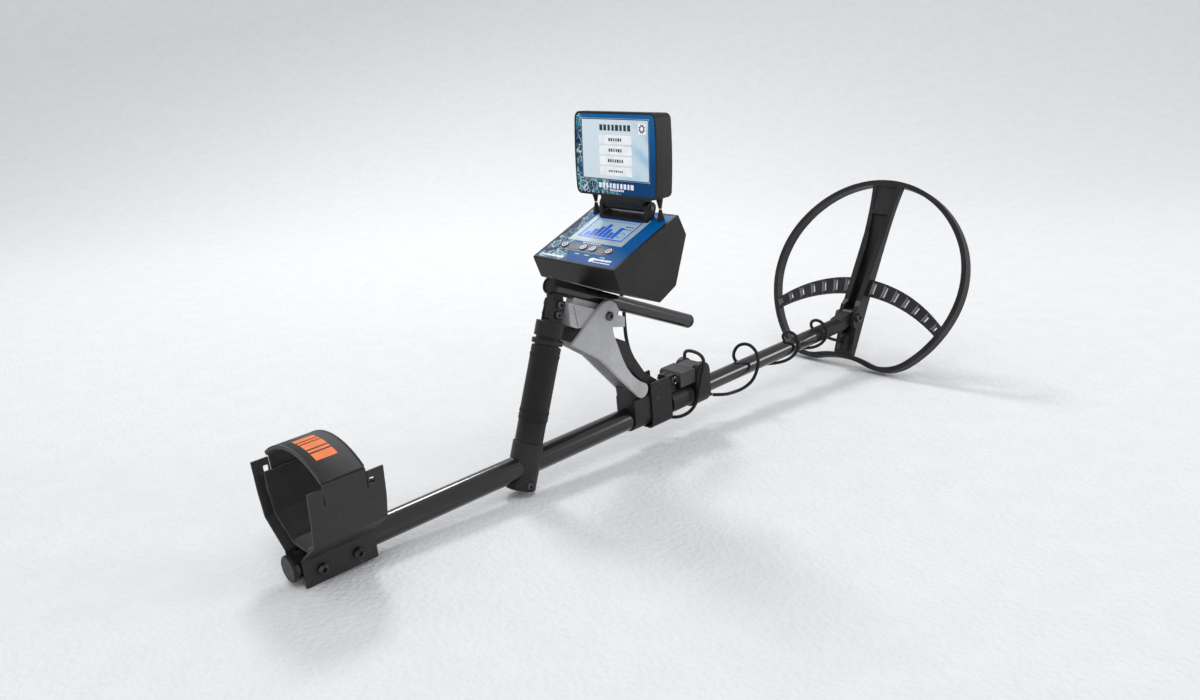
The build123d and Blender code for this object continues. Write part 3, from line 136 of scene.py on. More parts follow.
@dataclass(frozen=True)
class Panel:
    """A flat face with its own right and up directions.

    Args:
        origin: The point that flat places are counted from, in metres.
        right: Direction of growing u.
        up: Direction of growing v.
    """

    origin: Vector
    right: Vector
    up: Vector

    @property
    def out(self) -> Vector:
        """The direction that the face looks in."""
        return self.right.cross(self.up).normalized()

    def at(self, u: float, v: float, lift: float = 0.0) -> Vector:
        """A point u right, v up and lift off the face, all in millimetres."""
        return self.origin + self.right * (u * MM) + self.up * (v * MM) + self.out * (lift * MM)

    def shifted(self, u: float, v: float, lift: float) -> "Panel":
        """The same face counted from another of its points."""
        return Panel(self.at(u, v, lift), self.right, self.up)

    def matrix(self) -> Matrix:
        """The turn and shift from flat places, in metres, to the row's frame."""
        turn = Matrix((self.right, self.up, self.out)).transposed().to_4x4()
        return Matrix.Translation(self.origin) @ turn


def leaning(ahead: float, up: float, degrees: float) -> Panel:
    """A face that looks back along the shaft, with its top leaning forward.

    Args:
        ahead: Its origin's place along the shaft, in millimetres.
        up: Its origin's place off the shaft.
        degrees: How far it leans from upright.

    Returns:
        The face.
    """
    turn = math.radians(degrees)
    return Panel(STANCE.at(ahead, 0, up), -LEFT, STANCE.way(math.sin(turn), 0, math.cos(turn)))


CONSOLE_RUN, CONSOLE_RISE = 95.0, 36.5
CONSOLE_PANEL = leaning(352.0, 190.5, math.degrees(math.atan2(CONSOLE_RUN, CONSOLE_RISE)))
MONITOR_FACE = leaning(423.3, 288.5, 4.3)
COIL_SETBACK = 7.6
COIL_FACE = leaning(HINGE_AHEAD, HINGE_UP, 27.2).shifted(0, 0, -COIL_SETBACK)


# ------------------------------------------------------------------ shader arithmetic


class Tone:
    """A shader socket that takes part in arithmetic.

    Args:
        bench: The bench that makes this tone's nodes.
        socket: The output socket that carries the number.
    """

    def __init__(self, bench: "Bench", socket: bpy.types.NodeSocket) -> None:
        """Wraps one socket."""
        self.bench = bench
        self.socket = socket

    def _math(self, operation: str, *operands: "Tone | float") -> "Tone":
        """Adds one Math node.

        Args:
            operation: The node's operation.
            operands: Its inputs in order.

        Returns:
            The node's result.
        """
        inputs = dict(enumerate(operands))
        node = self.bench.node("ShaderNodeMath", {"operation": operation}, inputs)
        return Tone(self.bench, node.outputs[0])

    def __add__(self, other: "Tone | float") -> "Tone":
        """self + other."""
        return self._math("ADD", self, other)

    __radd__ = __add__

    def __sub__(self, other: "Tone | float") -> "Tone":
        """self - other."""
        return self._math("SUBTRACT", self, other)

    def __rsub__(self, other: "Tone | float") -> "Tone":
        """other - self."""
        return self._math("SUBTRACT", other, self)

    def __mul__(self, other: "Tone | float") -> "Tone":
        """self * other."""
        return self._math("MULTIPLY", self, other)

    __rmul__ = __mul__

    def __truediv__(self, other: "Tone | float") -> "Tone":
        """self / other."""
        return self._math("DIVIDE", self, other)

    def __pow__(self, other: "Tone | float") -> "Tone":
        """self ** other."""
        return self._math("POWER", self, other)

    def less(self, other: "Tone | float") -> "Tone":
        """The smaller of two numbers."""
        return self._math("MINIMUM", self, other)

    def wave(self, period: float) -> "Tone":
        """A sine of this length over the number, from -1 to 1."""
        return self._math("SINE", self * (2 * math.pi / period))

    def rise(self, low: float, high: float) -> "Tone":
        """Eases from 0 to 1 as the number goes from low to high.

        Args:
            low: Where the rise starts.
            high: Where it ends; lower than low for a fall.

        Returns:
            The eased number.
        """
        if low > high:
            return 1 - self.rise(high, low)
        settings = {"interpolation_type": "SMOOTHSTEP"}
        inputs = {"Value": self, "From Min": low, "From Max": high}
        node = self.bench.node("ShaderNodeMapRange", settings, inputs)
        return Tone(self.bench, node.outputs["Result"])


class Graph:
    """A node tree that nodes are added to.

    Args:
        tree: The tree.
    """

    def __init__(self, tree: bpy.types.NodeTree) -> None:
        """Takes the tree."""
        self.tree = tree

    def feed(self, socket: bpy.types.NodeSocket, value: object) -> None:
        """Links a socket or a tone to an input, or sets the input's value.

        Args:
            socket: The input.
            value: What it gets; a colour may leave out its alpha.
        """
        value = value.socket if isinstance(value, Tone) else value
        if isinstance(value, bpy.types.NodeSocket):
            self.tree.links.new(value, socket)
        elif socket.type == "RGBA" and len(value) == 3:
            socket.default_value = (*value, 1)
        else:
            socket.default_value = value

    def node(self, kind: str, settings: dict, inputs: dict) -> bpy.types.Node:
        """Adds one node, with its settings made before its inputs.

        Args:
            kind: The node's type.
            settings: Properties of the node.
            inputs: Values, sockets or tones by socket name or number.

        Returns:
            The node.
        """
        node = self.tree.nodes.new(kind)
        for key, value in settings.items():
            setattr(node, key, value)
        for key, value in inputs.items():
            self.feed(node.inputs[key], value)
        return node


class Bench(Graph):
    """Builds one material's nodes.

    Args:
        name: The material's name.
    """

    def __init__(self, name: str) -> None:
        """Starts an empty material with one surface shader."""
        self.material = bpy.data.materials.new(name)
        self.material.use_nodes = True
        super().__init__(self.material.node_tree)
        self.tree.nodes.clear()
        self.surface = self.node("ShaderNodeBsdfPrincipled", {}, {})
        self.node("ShaderNodeOutputMaterial", {}, {"Surface": self.surface.outputs[0]})
        self._place: bpy.types.NodeSocket | None = None

    def place(self) -> bpy.types.NodeSocket:
        """The surface point's own coordinates, in metres."""
        if self._place is None:
            self._place = self.node("ShaderNodeTexCoord", {}, {}).outputs["Object"]
        return self._place

    def vector(self, operation: str, inputs: dict) -> bpy.types.Node:
        """Adds one Vector Math node."""
        return self.node("ShaderNodeVectorMath", {"operation": operation}, inputs)

    def along(self, axis: Vector, origin: Vector = Vector()) -> Tone:
        """Millimetres from an origin along a direction.

        Args:
            axis: The direction.
            origin: The point counted from, in metres.

        Returns:
            The distance over the surface.
        """
        node = self.vector("DOT_PRODUCT", {0: self.place(), 1: tuple(axis / MM)})
        return Tone(self, node.outputs["Value"]) - origin.dot(axis) / MM

    def noise(
        self, scale: float, detail: float = 3.0, where: bpy.types.NodeSocket | None = None
    ) -> Tone:
        """Cloudy noise from 0 to 1.

        Args:
            scale: How fine it is, per metre.
            detail: How many finer layers it has.
            where: The coordinates; the surface's own by default.

        Returns:
            The noise.
        """
        inputs = {"Vector": where or self.place(), "Scale": scale, "Detail": detail}
        return Tone(self, self.node("ShaderNodeTexNoise", {}, inputs).outputs[0])

    def cells(
        self, scale: float, feature: str = "F1", where: bpy.types.NodeSocket | None = None
    ) -> Tone:
        """Distances of a cell pattern.

        Args:
            scale: How fine it is, per metre.
            feature: Which distance is given.
            where: The coordinates; the surface's own by default.

        Returns:
            The distance, about 0 to 1.
        """
        inputs = {"Vector": where or self.place(), "Scale": scale}
        node = self.node("ShaderNodeTexVoronoi", {"feature": feature}, inputs)
        return Tone(self, node.outputs["Distance"])

    def stretched(self, axis: Vector, factor: float) -> bpy.types.NodeSocket:
        """The surface's coordinates drawn out along one direction.

        Args:
            axis: The direction.
            factor: How much shorter the pattern's coordinate runs along it.

        Returns:
            The coordinates.
        """
        length = self.vector("DOT_PRODUCT", {0: self.place(), 1: tuple(axis)}).outputs["Value"]
        shift = self.vector("SCALE", {0: tuple(axis * (factor - 1)), "Scale": length}).outputs[0]
        return self.vector("ADD", {0: self.place(), 1: shift}).outputs[0]

    def mix(self, mask: Tone, low: object, high: object) -> bpy.types.NodeSocket:
        """A colour between two.

        Args:
            mask: 0 gives the first and 1 the second.
            low: A colour or a socket.
            high: A colour or a socket.

        Returns:
            The mixed colour's socket.
        """
        node = self.node("ShaderNodeMix", {"data_type": "RGBA"}, {0: mask, 6: low, 7: high})
        return node.outputs[2]

    def finish(
        self,
        colour: object,
        roughness: "Tone | float",
        height: Tone | None = None,
        depth: float = 0.0,
        **fixed: object,
    ) -> bpy.types.Material:
        """Joins colour, roughness and relief to the surface.

        Args:
            colour: A colour or a socket.
            roughness: A number or a tone.
            height: The relief, or none.
            depth: How deep the relief is, in metres.
            fixed: Other inputs of the surface, with underscores for spaces.

        Returns:
            The material.
        """
        inputs: dict = {"Base Color": colour, "Roughness": roughness}
        if height is not None:
            relief = {"Strength": 1.0, "Distance": depth, "Height": height}
            inputs["Normal"] = self.node("ShaderNodeBump", {}, relief).outputs[0]
        inputs |= {key.replace("_", " "): value for key, value in fixed.items()}
        for key, value in inputs.items():
            self.feed(self.surface.inputs[key], value)
        return self.material


# ------------------------------------------------------------------ finishes


class Finish(Protocol):
    """A finish that makes its own material."""

    name: str

    def make(self) -> bpy.types.Material:
        """Builds the material."""


@dataclass(frozen=True)
class Moulded:
    """Moulded plastic or rubber: fine grain, cloudy tint, and dust that lies lighter in patches.

    Args:
        name: The material's name.
        colour: The body colour.
        roughness: Its mean roughness.
        grain: How fine the mould's texture is, per metre.
        depth: How deep the texture is, in metres.
        dust: How much lighter the dusty patches are.
        sheen: Weight of the soft sheen at glancing angles.
        shine: How strongly it mirrors, 0.5 for common plastic.
    """

    name: str
    colour: Colour
    roughness: float = 0.5
    grain: float = 1800.0
    depth: float = 0.00006
    dust: float = 0.35
    sheen: float = 0.0
    shine: float = 0.28

    def make(self) -> bpy.types.Material:
        """Builds the material."""
        bench = Bench(self.name)
        grain = bench.cells(self.grain)
        cloud = bench.noise(26.0, 4.0)
        fine = bench.noise(340.0, 2.0)
        haze = 0.012 * self.dust
        light = tuple(min(1.0, value * (1 + self.dust) + haze) for value in self.colour)
        mask = (cloud * 0.7 + fine * 0.3).rise(0.38, 0.68)
        colour = bench.mix(mask, self.colour, light)
        roughness = (self.roughness - 0.06) + cloud * 0.1 + grain * 0.05
        fixed = {"Sheen_Weight": self.sheen, "Specular_IOR_Level": self.shine}
        return bench.finish(colour, roughness, grain + fine * 0.5, self.depth, **fixed)


@dataclass(frozen=True)
class Lacquered:
    """Glossy black lacquer on a drawn tube, with hair scratches along it.

    Args:
        name: The material's name.
        colour: The lacquer's colour.
        axis: The direction that the tube was drawn in.
    """

    name: str
    colour: Colour
    axis: Vector

    def make(self) -> bpy.types.Material:
        """Builds the material."""
        bench = Bench(self.name)
        drawn = bench.stretched(self.axis, 0.02)
        hair = bench.noise(900.0, 3.0, drawn)
        cloud = bench.noise(18.0, 4.0)
        specks = bench.cells(260.0).rise(0.09, 0.03) * bench.noise(60.0).rise(0.5, 0.7)
        worn = hair.rise(0.62, 0.8) * 0.5 + specks * 0.5
        colour = bench.mix(worn, self.colour, (0.07, 0.07, 0.075))
        roughness = 0.13 + hair * 0.08 + cloud * 0.07 + specks * 0.2
        fixed = {"Specular_IOR_Level": 0.42, "Coat_Weight": 0.35, "Coat_Roughness": 0.06}
        return bench.finish(colour, roughness, hair, 0.00001, **fixed)


@dataclass(frozen=True)
class PowderCoat:
    """Powder-coated sheet: orange-peel skin, rubbed lighter in patches.

    Args:
        name: The material's name.
        colour: The coat's colour.
        rubbed: The colour where it's rubbed.
    """

    name: str
    colour: Colour
    rubbed: Colour

    def make(self) -> bpy.types.Material:
        """Builds the material."""
        bench = Bench(self.name)
        peel = bench.noise(1500.0, 2.0)
        cloud = bench.noise(30.0, 4.0)
        rub = bench.noise(220.0, 5.0).rise(0.6, 0.74) * cloud.rise(0.45, 0.6)
        colour = bench.mix(rub, self.colour, self.rubbed)
        roughness = 0.4 + cloud * 0.14 - rub * 0.08
        return bench.finish(colour, roughness, peel, 0.00005, Specular_IOR_Level=0.3)


@dataclass(frozen=True)
class Steel:
    """Blackened or bright metal with brushed streaks.

    Args:
        name: The material's name.
        colour: The metal's colour.
        axis: The direction of the brushing.
        roughness: Its mean roughness.
    """

    name: str
    colour: Colour
    axis: Vector
    roughness: float = 0.36

    def make(self) -> bpy.types.Material:
        """Builds the material."""
        bench = Bench(self.name)
        streak = bench.noise(2600.0, 3.0, bench.stretched(self.axis, 0.06))
        stain = bench.noise(120.0, 4.0)
        dark = tuple(value * 0.45 for value in self.colour)
        colour = bench.mix(stain.rise(0.42, 0.66), self.colour, dark)
        roughness = self.roughness - 0.08 + streak * 0.16 + stain * 0.1
        return bench.finish(colour, roughness, streak, 0.00002, Metallic=0.9)


@dataclass(frozen=True)
class Woven:
    """Ribbed webbing: cross ribs, painted darker between them as shade, and a fine weave along one
    direction.

    Args:
        name: The material's name.
        colour: The yarn's colour.
        across: The direction across the ribs.
        pitch: Distance between ribs, in millimetres.
    """

    name: str
    colour: Colour
    across: Vector
    pitch: float = 1.6

    def make(self) -> bpy.types.Material:
        """Builds the material."""
        bench = Bench(self.name)
        ribs = bench.along(self.across).wave(self.pitch) * 0.5 + 0.5
        threads = bench.noise(1400.0, 2.0)
        cloud = bench.noise(22.0, 4.0)
        light = tuple(value * 1.9 + 0.01 for value in self.colour)
        # The colour is lighter on the rib crests and darker between them, painted shade that
        # follows the ribs; the threads and the cloud add random tone.
        colour = bench.mix(ribs * 0.45 + threads * 0.3 + cloud * 0.2, self.colour, light)
        height = ribs + threads * 0.5
        fixed = {"Sheen_Weight": 0.15, "Specular_IOR_Level": 0.3}
        return bench.finish(colour, 0.6 + threads * 0.18, height, 0.00012, **fixed)


@dataclass(frozen=True)
class Ink:
    """A flat printed or backlit colour, with the faint mottle of print.

    Args:
        name: The material's name.
        colour: The ink's colour.
        glow: How strongly it shines; on a lit display that is the display's own light, and on print
            elsewhere it is painted glow.
        roughness: Its mean roughness.
        mottle: How much the colour varies.
    """

    name: str
    colour: Colour
    glow: float = 0.0
    roughness: float = 0.35
    mottle: float = 0.12

    def make(self) -> bpy.types.Material:
        """Builds the material."""
        bench = Bench(self.name)
        cloud = bench.noise(90.0, 3.0)
        dark = tuple(value * (1 - self.mottle) for value in self.colour)
        colour = bench.mix(cloud.rise(0.35, 0.65), self.colour, dark)
        roughness = self.roughness + cloud * 0.08
        fixed = {"Emission_Color": colour, "Emission_Strength": self.glow} if self.glow else {}
        return bench.finish(colour, roughness, bench.noise(900.0), 0.000006, **fixed)


@dataclass(frozen=True)
class WaterPrint:
    """A printed sheet: blue that deepens to one side, part of it like light on rippled water.

    Args:
        name: The material's name.
        face: The sheet's face.
        near: Blue at the face's low edge.
        far: Blue at its high edge.
        height: The face's height, in millimetres.
        edge: Two flat points; the ripples lie to the left of the line through them.
    """

    name: str
    face: Panel
    near: Colour
    far: Colour
    height: float
    edge: tuple[tuple[float, float], tuple[float, float]]

    def make(self) -> bpy.types.Material:
        """Builds the material."""
        bench = Bench(self.name)
        u = bench.along(self.face.right, self.face.origin)
        v = bench.along(self.face.up, self.face.origin)
        (u0, v0), (u1, v1) = self.edge
        run = math.hypot(u1 - u0, v1 - v0)
        beyond = (u - u0) * ((v1 - v0) / run) - (v - v0) * ((u1 - u0) / run)
        torn = bench.noise(90.0, 4.0) * 22 - 11
        inside = (beyond + torn).rise(6.0, -5.0)
        warp = self.warped(bench, 0.007)
        nets = bench.cells(120.0, "DISTANCE_TO_EDGE", warp).rise(0.11, 0.0)
        fine = bench.cells(260.0, "DISTANCE_TO_EDGE", warp).rise(0.12, 0.0)
        glints = (nets * nets + fine * 0.6) * bench.noise(75.0).rise(0.34, 0.6)
        plain = bench.mix((v / self.height).rise(-0.6, 1.0), self.near, self.far)
        depths = bench.noise(60.0, 3.0).rise(0.4, 0.64)
        deep = bench.mix(depths, (0.0, 0.02, 0.085), (0.0, 0.17, 0.26))
        lit = bench.mix(glints.less(1.0), deep, (0.62, 0.88, 0.9))
        colour = bench.mix(inside, plain, lit)
        roughness = 0.42 + bench.noise(140.0) * 0.1
        fixed = {"Specular_IOR_Level": 0.12}
        return bench.finish(colour, roughness, bench.noise(700.0), 0.00001, **fixed)

    def warped(self, bench: Bench, amount: float) -> bpy.types.NodeSocket:
        """The surface's coordinates, pushed about by noise.

        Args:
            bench: The material's bench.
            amount: How far they're pushed, in metres.

        Returns:
            The coordinates.
        """
        inputs = {"Vector": bench.place(), "Scale": 55.0}
        push = bench.node("ShaderNodeTexNoise", {}, inputs).outputs[1]
        shift = bench.vector("SCALE", {0: push, "Scale": amount}).outputs[0]
        return bench.vector("ADD", {0: bench.place(), 1: shift}).outputs[0]


@dataclass(frozen=True)
class LitScreen:
    """A lit display: a pale field with a faint swirl of colour towards one corner.

    Args:
        name: The material's name.
        face: The display's face.
        field: The field's colour.
        swirl: The swirl's colour.
        glow: How strongly it shines.
    """

    name: str
    face: Panel
    field: Colour
    swirl: Colour
    glow: float

    def make(self) -> bpy.types.Material:
        """Builds the material."""
        bench = Bench(self.name)
        u = bench.along(self.face.right, self.face.origin)
        v = bench.along(self.face.up, self.face.origin)
        bands = ((u * 0.8 + v * 1.4 + bench.noise(26.0, 2.0) * 60).wave(46.0) * 0.5 + 0.5) ** 2
        reach = (u - v * 0.4).rise(-10.0, 55.0)
        colour = bench.mix(bands * reach * 0.75 + reach * 0.25, self.field, self.swirl)
        fixed = {"Emission_Color": colour, "Emission_Strength": self.glow}
        return bench.finish(colour, 0.12, bench.noise(500.0), 0.000004, **fixed)


@dataclass(frozen=True)
class Clear:
    """Clear moulded plastic of a small light.

    Args:
        name: The material's name.
        tint: The plastic's tint.
    """

    name: str
    tint: Colour

    def make(self) -> bpy.types.Material:
        """Builds the material."""
        bench = Bench(self.name)
        cloud = bench.noise(400.0, 2.0)
        colour = bench.mix(cloud, self.tint, tuple(value * 0.7 for value in self.tint))
        return bench.finish(colour, 0.1 + cloud * 0.1, cloud, 0.00002, Coat_Weight=0.6)


class Finishes:
    """Every finish of the detector, each material made once."""

    TUBE = Lacquered("tube_lacquer", (0.008, 0.008, 0.009), STANCE.ahead)
    BAR = Lacquered("bar_lacquer", (0.014, 0.014, 0.015), STANCE.way(0.906, 0, -0.423))
    BLACK = Moulded("black_plastic", (0.008, 0.008, 0.0085), 0.4)
    CLAMP = Moulded("clamp_plastic", (0.011, 0.011, 0.012), 0.44, dust=0.5)
    GREY = Moulded("grey_plastic", (0.38, 0.38, 0.385), 0.38, depth=0.00004, dust=0.25)
    LEVER = Moulded("lever_plastic", (0.036, 0.036, 0.038), 0.42, dust=0.4)
    CASE = Moulded("console_case", (0.0085, 0.008, 0.008), 0.48, grain=2400.0, dust=0.5)
    RUBBER = Moulded(
        "grip_rubber", (0.0035, 0.0035, 0.0038), 0.6, grain=1300.0, depth=0.0001, sheen=0.1
    )
    FOAM = Moulded(
        "liner_foam", (0.011, 0.011, 0.012), 0.78, grain=2100.0, depth=0.0002, sheen=0.3
    )
    CABLE = Moulded("cable_jacket", (0.008, 0.008, 0.009), 0.5, grain=2600.0, depth=0.00003)
    COIL = Moulded("coil_case", (0.010, 0.010, 0.011), 0.42, grain=1500.0, dust=0.6)
    # Light grey round the coil's slits and on one rib beside each: painted highlight on a coil that
    # is black plastic.
    SLIT_HIGHLIGHT = Moulded("web_slit_painted_highlight", (0.17, 0.175, 0.18), 0.45, grain=1500.0, dust=0.3)
    WEB = Moulded("coil_web", (0.016, 0.016, 0.0175), 0.5, grain=1500.0, dust=0.5)
    SHEET = PowderCoat("cuff_sheet", (0.026, 0.026, 0.027), (0.07, 0.07, 0.073))
    BAND = PowderCoat("clamp_sheet", (0.010, 0.010, 0.011), (0.06, 0.06, 0.06))
    BOLT = Steel("bolt_steel", (0.10, 0.10, 0.105), LEFT)
    DRAWN = Steel("grip_metal", (0.5, 0.5, 0.52), STANCE.way(0.3665, 0, 0.9304))
    COPPER = Steel("winding_copper", (0.62, 0.28, 0.12), LEFT, 0.3)
    STRAP = Woven("strap_web", (0.026, 0.026, 0.027), STANCE.ahead)
    MARK = Ink("strap_mark", (0.95, 0.22, 0.05), 0.0, 0.6)
    BOARD = Ink("board_mask", (0.02, 0.13, 0.06), 0.0, 0.4, 0.4)
    WRAP = Ink("battery_wrap", (0.03, 0.07, 0.2), 0.0, 0.3, 0.3)
    LENS = Clear("light_lens", (0.62, 0.66, 0.7))
    SCREEN = LitScreen(
        "monitor_screen", MONITOR_FACE, (0.60, 0.70, 0.76), (0.30, 0.50, 0.68), 0.26
    )
    LCD = LitScreen("console_lcd", CONSOLE_PANEL, (0.42, 0.60, 0.72), (0.34, 0.54, 0.72), 0.15)
    # White print glows on the panel, the buttons and the fascia as well as on the screen; off the
    # screen the glow is painted light.
    WHITE = Ink("print_white", (0.86, 0.88, 0.9), 0.26)
    # Pale print glows on the panel's button labels, painted light there; on the display frame it is
    # the display's own light.
    PALE = Ink("print_pale", (0.44, 0.54, 0.60), 0.08)
    BUTTON = Ink("button_cap", (0.10, 0.13, 0.19), 0.0, 0.3, 0.3)
    BRIGHT = Ink("print_bright_blue", (0.012, 0.12, 0.66), 0.2)
    INK = Ink("print_dark", (0.016, 0.02, 0.03))
    BLUE = Ink("print_blue", (0.015, 0.12, 0.5), 0.15)
    SLATE = Ink("print_slate", (0.03, 0.045, 0.075))
    PANEL = WaterPrint(
        "console_print",
        CONSOLE_PANEL,
        near=(0.0, 0.06, 0.22),
        far=(0.0, 0.13, 0.42),
        height=100.0,
        edge=((-16.7, 0), (-51.6, 84)),
    )
    FASCIA = WaterPrint(
        "monitor_print",
        MONITOR_FACE,
        near=(0.0, 0.06, 0.2),
        far=(0.0, 0.14, 0.42),
        height=43.0,
        edge=((4, -43), (-54, 43)),
    )

    _made: dict[str, bpy.types.Material] = {}

    @classmethod
    def of(cls, finish: Finish) -> bpy.types.Material:
        """The material of a finish, made the first time it's asked for.

        Args:
            finish: The finish.

        Returns:
            Its material.
        """
        if finish.name not in cls._made:
            cls._made[finish.name] = finish.make()
        return cls._made[finish.name]


# ------------------------------------------------------------------ meshes


# Signs of the four corners of a rectangle, counter-clockwise.
CORNERS = ((1, 1), (-1, 1), (-1, -1), (1, -1))


def placed(name: str, data: bpy.types.ID) -> bpy.types.Object:
    """Adds a new object to the scene's collection.

    Args:
        name: The object's name.
        data: What it holds.

    Returns:
        The object.
    """
    thing = bpy.data.objects.new(name, data)
    bpy.context.collection.objects.link(thing)
    return thing


def finished_mesh(thing: bpy.types.Object) -> bpy.types.Mesh:
    """A plain mesh of an object as its modifiers leave it."""
    graph = bpy.context.evaluated_depsgraph_get()
    return bpy.data.meshes.new_from_object(thing.evaluated_get(graph), depsgraph=graph)


def rounded(
    u: float, v: float, width: float, height: float, corner: float = 0.0, steps: int = 5
) -> Flat:
    """The outline of a rectangle with rounded corners.

    Args:
        u: Its middle, to the right.
        v: Its middle, upwards.
        width: Its width.
        height: Its height.
        corner: The corners' radius.
        steps: Segments of each corner.

    Returns:
        The outline, counter-clockwise.
    """
    if corner <= 0:
        return [(u + i * width / 2, v + j * height / 2) for i, j in CORNERS]
    points: Flat = []
    for quarter, (i, j) in enumerate(CORNERS):
        middle_u = u + i * (width / 2 - corner)
        middle_v = v + j * (height / 2 - corner)
        for step in range(steps + 1):
            turn = math.pi / 2 * (quarter + step / steps)
            points.append(
                (middle_u + corner * math.cos(turn), middle_v + corner * math.sin(turn))
            )
    return points


def disc(u: float, v: float, radius: float, sides: int = 40) -> Flat:
    """The outline of a circle.

    Args:
        u: Its middle, to the right.
        v: Its middle, upwards.
        radius: Its radius.
        sides: How many points it has.

    Returns:
        The outline, counter-clockwise.
    """
    turns = (2 * math.pi * step / sides for step in range(sides))
    return [(u + radius * math.cos(turn), v + radius * math.sin(turn)) for turn in turns]


def cog(u: float, v: float, radius: float, teeth: int = 8) -> Flat:
    """The outline of a toothed wheel.

    Args:
        u: Its middle, to the right.
        v: Its middle, upwards.
        radius: The teeth's outer radius.
        teeth: How many teeth it has.

    Returns:
        The outline, counter-clockwise.
    """
    root = 0.76
    points: Flat = []
    for tooth in range(teeth):
        for part, reach in ((0.0, root), (0.24, root), (0.34, 1.0), (0.66, 1.0), (0.76, root)):
            turn = 2 * math.pi * (tooth + part) / teeth
            far = radius * reach
            points.append((u + far * math.cos(turn), v + far * math.sin(turn)))
    return points


def lift_of(node: str, face: Panel, lowest: bool = False) -> float:
    """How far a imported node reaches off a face.

    Args:
        node: The node's name.
        face: The face.
        lowest: Gives its deepest point instead of its highest.

    Returns:
        The distance in millimetres.
    """
    out = face.out
    reach = [(vertex.co - face.origin).dot(out) for vertex in frame["nodes"][node].data.vertices]
    return (min(reach) if lowest else max(reach)) / MM


